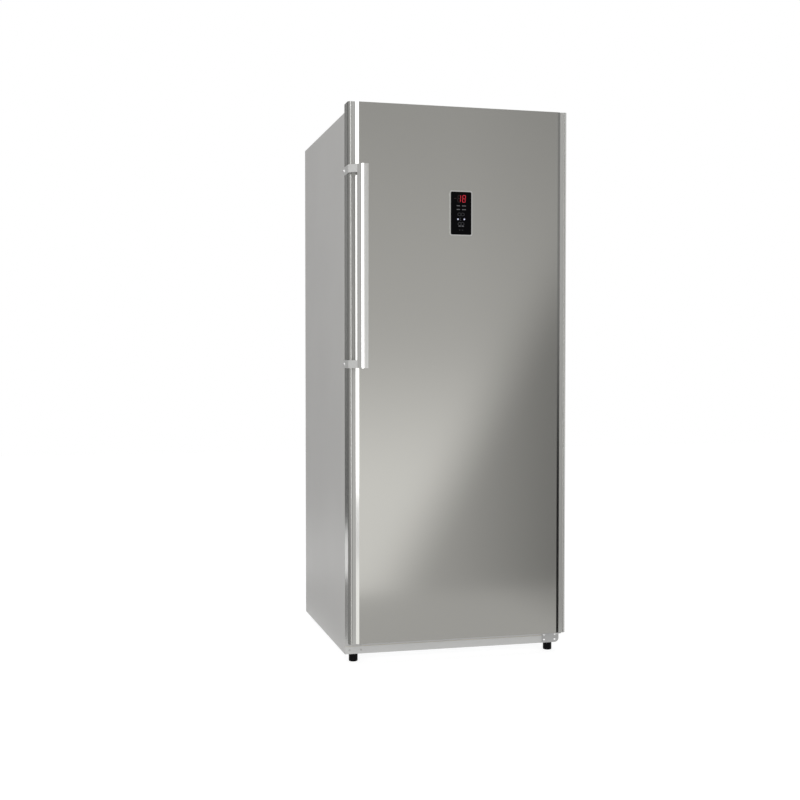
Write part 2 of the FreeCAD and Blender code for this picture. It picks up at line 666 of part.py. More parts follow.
def drawer_boxes():
    """Back, foot and height of the lower and the upper drawer."""
    lower = (Y_STEP - DRAWER_BACK_GAP, Z_FLOOR + DRAWER_LIFT, LOWER_DRAWER_HEIGHT)
    upper = (Y_DUCT - DRAWER_BACK_GAP, Z_STEP + DRAWER_LIFT, UPPER_DRAWER_HEIGHT)
    return lower, upper


def drawer(y1, z0, height):
    y0 = Y_FRONT + DRAWER_FRONT
    x = X_CAVITY - DRAWER_SIDE
    top = z0 + height
    body = tub(x, y0, y1, z0, top, DRAWER_WALL, DRAWER_FLOOR, DRAWER_CORNER)
    rims = [block(*sorted((side * (x - DRAWER_WALL), side * (x + DRAWER_RIM))), y0 + DRAWER_CORNER,
                  y1 - DRAWER_CORNER, top - DRAWER_FLOOR, top) for side in (-1, 1)]
    lip = slab(DRAWER_LIP_WIDTH / 2, y0 - DRAWER_LIP, y0 + DRAWER_WALL, top - DRAWER_LIP_HEIGHT, top)
    return join(body, *rims, lip)


def drawer_rails():
    rails = []
    for y1, z0, height in drawer_boxes():
        top = z0 + height - DRAWER_FLOOR - RAIL_CLEARANCE
        inner = X_CAVITY - DRAWER_SIDE + DRAWER_RIM / 3
        for side in (-1, 1):
            y = (Y_FRONT + DRAWER_FRONT, y1)
            leg = block(*sorted((side * (X_CAVITY - RAIL_THICKNESS), side * X_CAVITY)), *y,
                        top - RAIL_HEIGHT, top)
            shelf = block(*sorted((side * inner, side * X_CAVITY)), *y, top - RAIL_THICKNESS, top)
            rails.append(join(leg, shelf))
    return rails


def evaporator_rows():
    z0 = Z_FLOOR + EVAPORATOR_FOOT
    return [z0 + i * EVAPORATOR_PITCH for i in range(EVAPORATOR_ROWS)]


def cold_fan_axis():
    return evaporator_rows()[-1] + COLD_FAN_RISE


def air_duct_cover():
    """Panel before the evaporator, with outlet slots and a grille at the fan."""
    cover = slab(X_CAVITY, Y_DUCT, Y_DUCT + DUCT_SHEET, Z_STEP, Z_CEILING)
    slots = []
    for level in VENT_LEVELS:
        for i in (-2, -1, 0, 1, 2):
            x, z = i * VENT_PITCH, Z_FLOOR + level
            slots.append(rounded_plate(VENT_LENGTH, VENT_HEIGHT, x, z, Y_DUCT - 1, Y_DUCT + DUCT_SHEET + 1,
                                       VENT_HEIGHT / 2 - 0.1))
    step = 2 * VENT_HEIGHT
    for i in range(-3, 4):
        half = math.sqrt(COLD_FAN_RADIUS ** 2 - (i * step) ** 2)
        slots.append(rounded_plate(VENT_HEIGHT, 2 * half, i * step, cold_fan_axis(), Y_DUCT - 1,
                                   Y_DUCT + DUCT_SHEET + 1, VENT_HEIGHT / 2 - 0.1))
    return cover.cut(slots)


def evaporator_half():
    return (FIN_COUNT + 1) / 2 * FIN_PITCH


def evaporator_coil():
    return serpentine(evaporator_half() + END_PLATE, Y_CAVITY - EVAPORATOR_BACK, evaporator_rows()[0],
                      EVAPORATOR_ROWS, EVAPORATOR_PITCH, EVAPORATOR_TUBE, TUBE_OVERHANG)


def evaporator_fins():
    rows = evaporator_rows()
    y = Y_CAVITY - EVAPORATOR_BACK
    hole = EVAPORATOR_TUBE + TUBE_CLEARANCE
    fins = fin_stack(0, y, EVAPORATOR_FIN_DEPTH, rows[0] - FIN_MARGIN, rows[-1] + FIN_MARGIN, FIN_COUNT,
                     FIN_PITCH, FIN, rows, hole)
    z_heater = rows[0] - HEATER_DROP
    for side in (-1, 1):
        x = side * evaporator_half()
        plate = block(x - END_PLATE / 2, x + END_PLATE / 2, y - EVAPORATOR_FIN_DEPTH / 2, Y_CAVITY,
                      z_heater - FIN_MARGIN, rows[-1] + FIN_MARGIN)
        holes = [rod(x - END_PLATE, y, z, (1, 0, 0), hole, 2 * END_PLATE) for z in rows]
        holes.append(rod(x - END_PLATE, y, z_heater, (1, 0, 0), HEATER_RADIUS + TUBE_CLEARANCE,
                         2 * END_PLATE))
        fins.append(plate.cut(holes))
    return fins


def defrost_heater():
    half = evaporator_half() + END_PLATE + HEATER_OVERHANG
    z = evaporator_rows()[0] - HEATER_DROP
    return rod(-half, Y_CAVITY - EVAPORATOR_BACK, z, (1, 0, 0), HEATER_RADIUS, 2 * half)


def evaporator_fan_motor():
    z = cold_fan_axis()
    can = rod(0, Y_CAVITY, z, (0, -1, 0), MOTOR_RADIUS, MOTOR_LENGTH)
    return join(can, rod(0, Y_CAVITY, z, (0, -1, 0), SHAFT_RADIUS, MOTOR_LENGTH + FAN_GAP + FAN_DEPTH))


def evaporator_fan_blade():
    wheel = fan(SHAFT_RADIUS + FAN_BORE_CLEARANCE, FAN_HUB, COLD_FAN_RADIUS, FAN_DEPTH, FAN_BLADES)
    wheel.rotate(V(0, 0, 0), V(1, 0, 0), 90)
    wheel.translate(V(0, Y_CAVITY - MOTOR_LENGTH - FAN_GAP, cold_fan_axis()))
    return wheel


def light_cover():
    y = Y_FRONT + LIGHT_BACK
    lens = slab(LIGHT_LENGTH / 2, y - LIGHT_DEPTH / 2, y + LIGHT_DEPTH / 2,
                Z_CEILING - LIGHT_DROP, Z_CEILING)
    return rounded_uprights(lens, LIGHT_DROP)


# ---------------------------------------------------------------- machine space

def compressor_mount_points():
    dx, dy = FOOT_PLATE_X / 2 - GROMMET_INSET, FOOT_PLATE_Y / 2 - GROMMET_INSET
    return [(COMPRESSOR_X + sx * dx, Y_MACHINE_MID + sy * dy) for sx in (-1, 1) for sy in (-1, 1)]


def compressor_base():
    base = slab(X_INNER, Y_MACHINE, Y_BACK - COVER_SHEET, Z_PAN, Z_BASE)
    rise = GROMMET_HEIGHT + FOOT_PLATE + STUD_ABOVE
    return join(base, *[rod(x, y, Z_PAN, (0, 0, 1), STUD_RADIUS, BASE_SHEET + rise)
                        for x, y in compressor_mount_points()])


def compressor_mounts():
    return [rod(x, y, Z_BASE, (0, 0, 1), GROMMET_RADIUS, GROMMET_HEIGHT).cut(
        rod(x, y, Z_BASE, (0, 0, 1), STUD_RADIUS + STUD_CLEARANCE, GROMMET_HEIGHT))
        for x, y in compressor_mount_points()]


def compressor():
    z = Z_BASE + GROMMET_HEIGHT
    x, y = COMPRESSOR_X, Y_MACHINE_MID
    can = rod(x, y, z, (0, 0, 1), COMPRESSOR_RADIUS, COMPRESSOR_HEIGHT)
    can = can.makeFillet(COMPRESSOR_DOME, [e for e in can.Edges if e.Closed])
    seam = rod(x, y, z + COMPRESSOR_HEIGHT / 2, (0, 0, 1), COMPRESSOR_RADIUS + SEAM_PROUD, SEAM_HEIGHT)
    plate = block(x - FOOT_PLATE_X / 2, x + FOOT_PLATE_X / 2, y - FOOT_PLATE_Y / 2, y + FOOT_PLATE_Y / 2,
                  z, z + FOOT_PLATE)
    box_x = x + COMPRESSOR_RADIUS - TERMINAL / 4
    box = block(box_x, box_x + TERMINAL, y - TERMINAL / 2, y + TERMINAL / 2,
                z + TERMINAL / 2, z + 1.5 * TERMINAL)
    stubs = [rod(x - side * COMPRESSOR_RADIUS / 2, y, z + COMPRESSOR_HEIGHT * 0.68, (0, side, 0),
                 STUB_RADIUS, COMPRESSOR_RADIUS + STUB_LENGTH / 2) for side in (-1, 1)]
    body = join(can, seam, rounded_uprights(plate, GROMMET_INSET), box, *stubs)
    return body.cut([rod(px, py, z - 1, (0, 0, 1), STUD_RADIUS + STUD_CLEARANCE, FOOT_PLATE + 2)
                     for px, py in compressor_mount_points()])


def drip_tray():
    z = Z_BASE + GROMMET_HEIGHT + COMPRESSOR_HEIGHT
    tray = tub(TRAY_X / 2, Y_MACHINE_MID - TRAY_Y / 2, Y_MACHINE_MID + TRAY_Y / 2, z, z + TRAY_HEIGHT,
               TRAY_WALL, TRAY_WALL, 4 * TRAY_WALL)
    tray.translate(V(COMPRESSOR_X, 0, 0))
    return tray


def condenser_coil():
    """Tube and its fins; the end fins stand on the base plate."""
    z0 = Z_BASE + CONDENSER_FOOT
    rows = [z0 + i * CONDENSER_PITCH for i in range(CONDENSER_ROWS)]
    half = (CONDENSER_FIN_COUNT + 1) / 2 * CONDENSER_FIN_PITCH
    tube = serpentine(half, Y_MACHINE_MID, z0, CONDENSER_ROWS, CONDENSER_PITCH, CONDENSER_TUBE, 0)
    tube.translate(V(CONDENSER_X, 0, 0))
    hole = CONDENSER_TUBE + TUBE_CLEARANCE
    top = rows[-1] + CONDENSER_PITCH / 2
    fins = fin_stack(CONDENSER_X, Y_MACHINE_MID, CONDENSER_FIN_DEPTH, z0 - CONDENSER_PITCH / 2, top,
                     CONDENSER_FIN_COUNT - 2, CONDENSER_FIN_PITCH, FIN, rows, hole)
    ends = fin_stack(CONDENSER_X, Y_MACHINE_MID, CONDENSER_FIN_DEPTH, Z_BASE, top, 2,
                     (CONDENSER_FIN_COUNT - 1) * CONDENSER_FIN_PITCH, FIN, rows, hole)
    return [tube] + fins + ends


def hot_fan_axis():
    return Y_MACHINE_MID, Z_BASE + HOT_FAN_RISE


def condenser_fan_shroud():
    y, z = hot_fan_axis()
    plate = block(SHROUD_X, SHROUD_X + SHROUD_SHEET, y - SHROUD_WIDTH / 2, y + SHROUD_WIDTH / 2,
                  Z_BASE, Z_BASE + SHROUD_HEIGHT)
    return plate.cut(rod(SHROUD_X - 1, y, z, (1, 0, 0), HOT_FAN_RADIUS + SHROUD_CLEARANCE,
                         SHROUD_SHEET + 2))


def hot_fan_face():
    """X of the motor's front."""
    return SHROUD_X - FAN_DEPTH / 2 - FAN_GAP


def condenser_fan_motor():
    """Motor with its shaft and three arms that stand on the shroud."""
    y, z = hot_fan_axis()
    x = hot_fan_face()
    parts = [rod(x, y, z, (-1, 0, 0), MOTOR_RADIUS, MOTOR_LENGTH),
             rod(x - MOTOR_LENGTH, y, z, (1, 0, 0), SHAFT_RADIUS, MOTOR_LENGTH + FAN_GAP + FAN_DEPTH)]
    foot = HOT_FAN_RADIUS + SHROUD_CLEARANCE + ARM_SHEET
    x_arm = x - MOTOR_LENGTH / 2
    for i in range(3):
        arm = block(x_arm, x_arm + ARM_SHEET, y - ARM_SHEET, y + ARM_SHEET, z, z + foot + ARM_SHEET)
        post = block(x_arm, SHROUD_X, y - ARM_SHEET, y + ARM_SHEET,
                     z + foot - ARM_SHEET, z + foot + ARM_SHEET)
        arm = arm.fuse(post)
        arm.rotate(V(x, y, z), V(1, 0, 0), 60 + 120 * i)
        parts.append(arm)
    return join(*parts)


def condenser_fan_blade():
    wheel = fan(SHAFT_RADIUS + FAN_BORE_CLEARANCE, FAN_HUB, HOT_FAN_RADIUS, FAN_DEPTH, FAN_BLADES)
    wheel.rotate(V(0, 0, 0), V(0, 1, 0), 90)
    wheel.translate(V(hot_fan_face() + FAN_GAP, *hot_fan_axis()))
    return wheel


def control_box():
    x1 = X_INNER - BOX_EDGE
    z = Z_BASE + BOX_RISE
    return rounded_uprights(block(x1 - BOX_X, x1, Y_MACHINE, Y_MACHINE + BOX_Y, z, z + BOX_Z), 3)


def rear_cover():
    z0, z1 = Z_PAN, Z_MACHINE
    cover = slab(X_INNER, Y_BACK - COVER_SHEET, Y_BACK, z0, z1)
    slots = []
    for foot in SLOT_ROWS:
        for i in range(SLOT_COUNT):
            x = (i - (SLOT_COUNT - 1) / 2) * SLOT_PITCH
            slots.append(rounded_plate(SLOT_WIDTH, SLOT_HEIGHT, x, z0 + foot + SLOT_HEIGHT / 2,
                                       Y_BACK - COVER_SHEET - 1, Y_BACK + 1, SLOT_WIDTH / 2 - 0.1))
    inlet = rod(INLET_X, Y_BACK - COVER_SHEET - 1, z0 + INLET_RISE, (0, 1, 0), INLET_NECK, COVER_SHEET + 2)
    return cover.cut(slots + [inlet])


def cord_inlet():
    """Bushing in the rear cover that a mains lead would pass through."""
    z = Z_PAN + INLET_RISE
    back = Y_BACK - COVER_SHEET
    inside = rod(INLET_X, back, z, (0, -1, 0), INLET_FLANGE, INLET_PROUD)
    neck = rod(INLET_X, Y_BACK, z, (0, -1, 0), INLET_NECK - SCREW_CLEARANCE, INLET_LENGTH)
    bore = rod(INLET_X, Y_BACK + 1, z, (0, -1, 0), INLET_BORE, INLET_LENGTH + 2)
    return join(inside, neck).cut(bore)


# ---------------------------------------------------------------- feet and rollers

def front_foot(x, y):
    """Levelling foot with its threaded shank, screwed fully in."""
    pad = rod(x, y, 0, (0, 0, 1), FOOT_RADIUS, FLOOR_GAP)
    rim = [e for e in pad.Edges if e.Closed and e.CenterOfMass.z < 1]
    pad = pad.makeFillet(FOOT_EDGE, rim)
    return join(pad, rod(x, y, 0, (0, 0, 1), SHANK_RADIUS, FLOOR_GAP + SHANK_ABOVE))


def roller_bracket(side):
    """Two cheeks under a top plate, with the axle between them."""
    x, y = side * ROLLER_X, Y_BACK - ROLLER_BACK
    half = ROLLER_WIDTH / 2 + ROLLER_SIDE_CLEARANCE
    top = block(x - half - CHEEK, x + half + CHEEK, y - CHEEK_HALF_DEPTH, y + CHEEK_HALF_DEPTH,
                Z_PAN - CHEEK_TOP, Z_PAN)
    foot = ROLLER_RADIUS - 2 * AXLE_RADIUS
    cheeks = [block(x0, x0 + CHEEK, y - CHEEK_HALF_DEPTH, y + CHEEK_HALF_DEPTH, foot, Z_PAN)
              for x0 in (x - half - CHEEK, x + half)]
    axle = rod(x - half - CHEEK, y, ROLLER_RADIUS, (1, 0, 0), AXLE_RADIUS, 2 * (half + CHEEK))
    return join(top, *cheeks, axle)


def rear_roller(side):
    x, y = side * ROLLER_X - ROLLER_WIDTH / 2, Y_BACK - ROLLER_BACK
    wheel = rod(x, y, ROLLER_RADIUS, (1, 0, 0), ROLLER_RADIUS, ROLLER_WIDTH)
    return wheel.cut(rod(x, y, ROLLER_RADIUS, (1, 0, 0), AXLE_RADIUS + SHANK_CLEARANCE, ROLLER_WIDTH))


# ---------------------------------------------------------------- door

def hinge_notch():
    """Room for the upper hinge arm, open to the top, back and side of the door."""
    return block(X_HINGE - NOTCH_SIDE, X_DOOR + 1, Y_HINGE - NOTCH_FRONT, Y_DOOR_BACK + 1,
                 Z_NOTCH, HEIGHT + 1)


def profile_outline(at):
    """Edges of the fluted section. at(u, v) places u from the door side and v from the door front."""
    def line(a, b):
        return Part.LineSegment(at(*a), at(*b)).toShape()

    def arc(a, m, b):
        return Part.Arc(at(*a), at(*m), at(*b)).toShape()

    def on_column(degrees):
        turn = math.radians(degrees)
        return COLUMN_RADIUS * (1 - math.sin(turn)), COLUMN_RADIUS * (1 - math.cos(turn))

    slope = math.tan(math.radians(COLUMN_FLAT))
    flat_u, flat_v = on_column(COLUMN_FLAT)
    lip = flat_u + (flat_v - LIP_DROP) / slope
    lip_end = lip + LIP_WIDTH
    crest = LIP_DROP - LIP_WIDTH / 2 * math.tan(math.radians(COLUMN_FLAT / 2))
    step = (lip_end + FLUTE_STEP, FLUTE_DEPTH - FLUTE_FALL)
    ridge = ((FLUTE_END + PROFILE_WIDTH) / 2, FLUTE_DEPTH / 2 - RIDGE_CROWN)
    return [
        arc((0, COLUMN_RADIUS), on_column(45 + COLUMN_FLAT / 2), (flat_u, flat_v)),
        line((flat_u, flat_v), (lip, LIP_DROP)),
        arc((lip, LIP_DROP), (lip + LIP_WIDTH / 2, crest), (lip_end, LIP_DROP)),
        line((lip_end, LIP_DROP), step),
        line(step, (FLUTE_END, FLUTE_DEPTH)),
        arc((FLUTE_END, FLUTE_DEPTH), ridge, (PROFILE_WIDTH, 0)),
        line((PROFILE_WIDTH, 0), (PROFILE_WIDTH, PROFILE_INNER)),
        line((PROFILE_WIDTH, PROFILE_INNER), (PROFILE_WALL, PROFILE_INNER)),
        line((PROFILE_WALL, PROFILE_INNER), (PROFILE_WALL, DOOR_DEPTH - LINER)),
        line((PROFILE_WALL, DOOR_DEPTH - LINER), (PROFILE_RETURN, DOOR_DEPTH - LINER)),
        line((PROFILE_RETURN, DOOR_DEPTH - LINER), (PROFILE_RETURN, DOOR_DEPTH)),
        line((PROFILE_RETURN, DOOR_DEPTH), (0, DOOR_DEPTH)),
        line((0, DOOR_DEPTH), (0, COLUMN_RADIUS)),
    ]


def edge_profile(side):
    edges = profile_outline(lambda u, v: V(side * (X_DOOR - u), Y_DOOR + v, DOOR_LIFT))
    profile = Part.Face(Part.Wire(edges)).extrude(V(0, 0, HEIGHT - DOOR_LIFT))
    if side > 0:
        return profile.cut(hinge_notch())
    for z in strap_levels():
        profile = profile.cut(rod(-X_DOOR - 1, Y_DOOR_BACK - HANDLE_SCREW_BACK, z, (1, 0, 0),
                                  SCREW_RADIUS + SCREW_CLEARANCE, PROFILE_WALL + 2))
    return profile


def panel_centre():
    return PANEL_CENTRE_X, HEIGHT - PANEL_CENTRE_DROP


def bezel_box(grow=0.0):
    """The outside of the box behind the control panel."""
    x, z = panel_centre()
    width, height = BEZEL_WIDTH - 2 * BEZEL_BOX_INSET, BEZEL_HEIGHT - 2 * BEZEL_BOX_INSET
    return rounded_plate(width + 2 * grow, height + 2 * grow, x, z, Y_DOOR - BEZEL_LEDGE,
                         Y_DOOR + BEZEL_BOX_DEPTH + grow, BEZEL_BOX_INSET)


def door_panel():
    """Flat stainless skin with a narrow return at each side."""
    skin = slab(X_SKIN, Y_DOOR, Y_DOOR + SKIN, DOOR_LIFT, HEIGHT)
    returns = [block(*sorted((side * (X_SKIN - SKIN), side * X_SKIN)), Y_DOOR, Y_DOOR + SKIN + SKIN_RETURN,
                     DOOR_LIFT, HEIGHT) for side in (-1, 1)]
    return join(skin, *returns).cut(bezel_box(GLASS_CLEARANCE))


def door_inside(z0, z1, back):
    """The room between the profiles, from behind the skin to back."""
    wide = slab(X_DOOR - PROFILE_WALL, Y_DOOR + PROFILE_INNER, Y_LINER, z0, z1)
    front = slab(X_SKIN - SKIN, Y_DOOR + SKIN, Y_DOOR + PROFILE_INNER, z0, z1)
    shape = wide.fuse(front)
    if back > Y_LINER:
        shape = shape.fuse(slab(X_DOOR - PROFILE_RETURN, Y_LINER, back, z0, z1))
    return shape.removeSplitter()


def bush_radius():
    return PIN_RADIUS + PIN_CLEARANCE + BUSH_WALL


def boss(z, direction):
    """Solid boss round the hinge bush, from the cap inwards."""
    return rod(X_HINGE, Y_HINGE, z, (0, 0, direction), bush_radius() + BOSS_WALL, PIN_IN_DOOR + BOSS_WALL)


def bush_hole(z, direction):
    return rod(X_HINGE, Y_HINGE, z, (0, 0, direction), bush_radius() + BUSH_SEAT, PIN_IN_DOOR + 1)


def door_cap_top():
    cap = door_inside(HEIGHT - CAP_SKIRT, HEIGHT, Y_DOOR_BACK)
    pocket = slab(X_DOOR - PROFILE_WALL - CAP_WALL, Y_DOOR + PROFILE_INNER + CAP_WALL, Y_LINER - CAP_WALL,
                  HEIGHT - CAP_SKIRT - 1, HEIGHT - CAP_PLATE)
    x0, y0 = X_HINGE - NOTCH_SIDE - CAP_WALL, Y_HINGE - NOTCH_FRONT - CAP_WALL
    lining = block(x0, X_DOOR - PROFILE_WALL, y0, Y_LINER, Z_NOTCH - CAP_WALL, HEIGHT)
    cap = cap.cut(pocket).fuse(lining).cut(hinge_notch())
    below = Z_NOTCH - CAP_WALL
    cap = cap.fuse(boss(Z_NOTCH, -1)).removeSplitter()
    behind = block(x0 - 1, X_DOOR, Y_LINER, Y_DOOR_BACK + CAP_WALL, below - PIN_IN_DOOR, HEIGHT - CAP_SKIRT)
    return cap.cut([bush_hole(Z_NOTCH, -1), behind])


def door_cap_bottom():
    top = DOOR_LIFT + CAP_FOOT
    cap = door_inside(DOOR_LIFT, top, Y_DOOR_BACK)
    pocket = slab(X_DOOR - PROFILE_WALL - CAP_WALL, Y_DOOR + PROFILE_INNER + CAP_WALL, Y_LINER - CAP_WALL,
                  DOOR_LIFT + CAP_PLATE, top + 1)
    cap = cap.cut(pocket).fuse(boss(DOOR_LIFT, 1)).removeSplitter()
    return cap.cut(bush_hole(DOOR_LIFT, 1))


def hinge_bushes():
    bushes = []
    for z, direction in ((DOOR_LIFT, 1), (Z_NOTCH, -1)):
        sleeve = rod(X_HINGE, Y_HINGE, z, (0, 0, direction), bush_radius(), PIN_IN_DOOR + 1)
        bore = rod(X_HINGE, Y_HINGE, z - direction, (0, 0, direction), PIN_RADIUS + PIN_CLEARANCE,
                   PIN_IN_DOOR + 3)
        bushes.append(sleeve.cut(bore))
    return bushes


def dike(shrink=0.0):
    """The door liner's raised ring, or the room inside it."""
    z0, z1 = Z_DIKE
    outer = slab(X_DIKE - shrink, Y_LINER - shrink / LINER, Y_DOOR_BACK + DIKE_RISE - shrink,
                 z0 + shrink, z1 - shrink)
    inner_x = X_DIKE - DIKE_WIDTH
    hollow = slab(inner_x + shrink, Y_LINER - 1 - shrink, Y_DOOR_BACK + DIKE_RISE + 1,
                  z0 + DIKE_WIDTH - shrink, z1 - DIKE_WIDTH + shrink)
    return outer.cut(hollow)


def bin_feet():
    """Height of each bin's underside."""
    z0 = Z_DIKE[0] + DIKE_WIDTH + BIN_FOOT
    return [z0 + i * BIN_PITCH for i in range(len(BIN_HEIGHTS))]


def door_liner():
    plate = slab(X_DOOR - PROFILE_RETURN, Y_LINER, Y_DOOR_BACK, DOOR_LIFT + CAP_FOOT, HEIGHT - CAP_SKIRT)
    inner_x = X_DIKE - DIKE_WIDTH
    lugs = [block(*sorted((side * (inner_x - LUG_REACH), side * (inner_x + LINER / 2))),
                  Y_DOOR_BACK - LINER / 2, Y_DOOR_BACK + LUG_DEPTH, z - LUG_HEIGHT, z)
            for z in bin_feet() for side in (-1, 1)]
    return plate.fuse([dike()] + lugs).removeSplitter().cut(dike(LINER))


def door_foam():
    """Foamed in place between skin, profiles, caps and liner."""
    foam = door_inside(DOOR_LIFT + CAP_PLATE, HEIGHT - CAP_PLATE, Y_LINER).fuse(dike(LINER))
    lining = block(X_HINGE - NOTCH_SIDE - CAP_WALL, X_DOOR + 1, Y_HINGE - NOTCH_FRONT - CAP_WALL,
                   Y_DOOR_BACK + 1, Z_NOTCH - CAP_WALL, HEIGHT + 1)
    foam = foam.cut([door_cap_top(), door_cap_bottom(), boss(DOOR_LIFT, 1), boss(Z_NOTCH, -1), lining,
                     bezel_box(GLASS_CLEARANCE)])
    for z in strap_levels():
        foam = foam.cut(rod(-X_DOOR, Y_DOOR_BACK - HANDLE_SCREW_BACK, z, (1, 0, 0),
                            SCREW_RADIUS + SCREW_CLEARANCE, HANDLE_SCREW_LENGTH))
    return foam.removeSplitter()


def door_gasket():
    outer_z = Z_FRAME - SEAL_WIDTH - 2, Z_SHELL - FRAME_FACE + SEAL_WIDTH + 2
    ring = slab(X_SEAL, Y_DOOR_BACK, Y_FRONT - SEAL_CLEARANCE, *outer_z)
    return ring.cut(slab(X_SEAL - SEAL_WIDTH, Y_DOOR_BACK - 1, Y_FRONT + 1,
                         outer_z[0] + SEAL_WIDTH, outer_z[1] - SEAL_WIDTH))


def door_bin(z, height):
    y0 = Y_DOOR_BACK + BIN_BACK_CLEARANCE
    half = X_DIKE - DIKE_WIDTH - BIN_SIDE_CLEARANCE
    return tub(half, y0, y0 + BIN_DEPTH, z, z + height, BIN_WALL, BIN_FLOOR, BIN_CORNER)


def display_bezel():
    x, z = panel_centre()
    front = rounded_plate(BEZEL_WIDTH, BEZEL_HEIGHT, x, z, Y_DOOR - BEZEL_PROUD, Y_DOOR, BEZEL_CORNER)
    recess = rounded_plate(BEZEL_WIDTH - 2 * BEZEL_RIM, BEZEL_HEIGHT - 2 * BEZEL_RIM, x, z,
                           Y_DOOR - BEZEL_PROUD - 1, Y_DOOR - BEZEL_LEDGE, BEZEL_CORNER - BEZEL_RIM / 2)
    inset = 2 * (BEZEL_BOX_INSET + BEZEL_BOX_WALL)
    room = rounded_plate(BEZEL_WIDTH - inset, BEZEL_HEIGHT - inset, x, z, Y_DOOR - BEZEL_PROUD - 1,
                         Y_DOOR + BEZEL_BOX_DEPTH - BEZEL_FLOOR, BEZEL_BOX_WALL)
    return join(front, bezel_box()).cut([recess, room])


def display_glass():
    x, z = panel_centre()
    inset = 2 * (BEZEL_RIM + GLASS_CLEARANCE)
    return rounded_plate(BEZEL_WIDTH - inset, BEZEL_HEIGHT - inset, x, z,
                         Y_DOOR - BEZEL_PROUD + GLASS_CLEARANCE, Y_DOOR - BEZEL_LEDGE,
                         BEZEL_CORNER - BEZEL_RIM / 2)


# ---------------------------------------------------------------- handle

def strap_levels():
    """Mid height of the lower and the upper strap."""
    return BAR_FOOT + STRAP_HEIGHT / 2, BAR_FOOT + BAR_LENGTH - STRAP_HEIGHT / 2


def bar_edges():
    """Outer X, inner X, front Y and back Y of the bar."""
    x0 = -X_DOOR + BAR_INSET
    return x0, x0 + BAR_WIDTH, Y_DOOR - HANDLE_REACH, Y_DOOR - HANDLE_REACH + BAR_DEPTH


def handle_bar():
    """Extruded bar: slanted outer face, shallow bevel and a grooved front."""
    x0, x1, y0, y1 = bar_edges()
    groove = x0 + BAR_SLANT + BAR_EDGE + BAR_GROOVE
    bevel = x0 + BAR_SLANT - BAR_BEVEL_DEPTH
    outline = [(x0, y1), (x0, y0 + BAR_SLANT), (bevel, y0 + BAR_BEVEL_DEPTH), (bevel + BAR_BEVEL, y0),
               (groove, y0),
               (groove + BAR_GROOVE_DEPTH, y0 + BAR_GROOVE_DEPTH),
               (groove + BAR_GROOVE - BAR_GROOVE_DEPTH, y0 + BAR_GROOVE_DEPTH), (groove + BAR_GROOVE, y0),
               (x1 - BAR_EDGE, y0), (x1, y0 + BAR_EDGE), (x1, y1)]
    bar = column(outline, BAR_FOOT, BAR_FOOT + BAR_LENGTH)
    x = x1 - BAR_SCREW_INSET
    return bar.cut([rod(x, y1, z, (0, -1, 0), SCREW_RADIUS + SCREW_CLEARANCE, BAR_SCREW_LENGTH)
                    for z in strap_levels()])


def handle_brackets():
    """Straps from the door's side round to the back of the bar."""
    x0, x1, y0, y1 = bar_edges()
    outer = -X_DOOR - STRAP
    y_slant = y0 + BAR_SLANT
    bend = y_slant + (x0 - outer)
    lean = STRAP * (math.sqrt(2) - 1)
    y_back = y1 + STRAP
    outline = [(outer, Y_DOOR_BACK - STRAP_BACK), (outer, bend), (x0, y_slant), (x0, y1), (x0 + TONGUE, y1),
               (x0 + TONGUE, y_back), (-X_DOOR + (bend + lean - y_back), y_back), (-X_DOOR, bend + lean),
               (-X_DOOR, Y_DOOR_BACK - STRAP_BACK)]
    straps = []
    for z in strap_levels():
        strap = column(outline, z - STRAP_HEIGHT / 2, z + STRAP_HEIGHT / 2)
        side_hole = rod(outer - 1, Y_DOOR_BACK - HANDLE_SCREW_BACK, z, (1, 0, 0),
                        SCREW_RADIUS + SCREW_CLEARANCE, STRAP + 2)
        bar_hole = rod(x1 - BAR_SCREW_INSET, y_back + 1, z, (0, -1, 0), SCREW_RADIUS + SCREW_CLEARANCE,
                       STRAP + 2)
        straps.append(strap.cut([side_hole, bar_hole]))
    return straps


def handle_screws():
    x1, y1 = bar_edges()[1], bar_edges()[3]
    screws = []
    for z in strap_levels():
        screws.append(pan_screw(-X_DOOR - STRAP, Y_DOOR_BACK - HANDLE_SCREW_BACK, z, (1, 0, 0),
                                SCREW_RADIUS, HANDLE_SCREW_LENGTH, HANDLE_SCREW_HEAD, HANDLE_SCREW_DOME))
        screws.append(pan_screw(x1 - BAR_SCREW_INSET, y1 + STRAP, z, (0, -1, 0), SCREW_RADIUS,
                                BAR_SCREW_LENGTH, SCREW_HEAD, SCREW_HEAD_HEIGHT))
    return screws


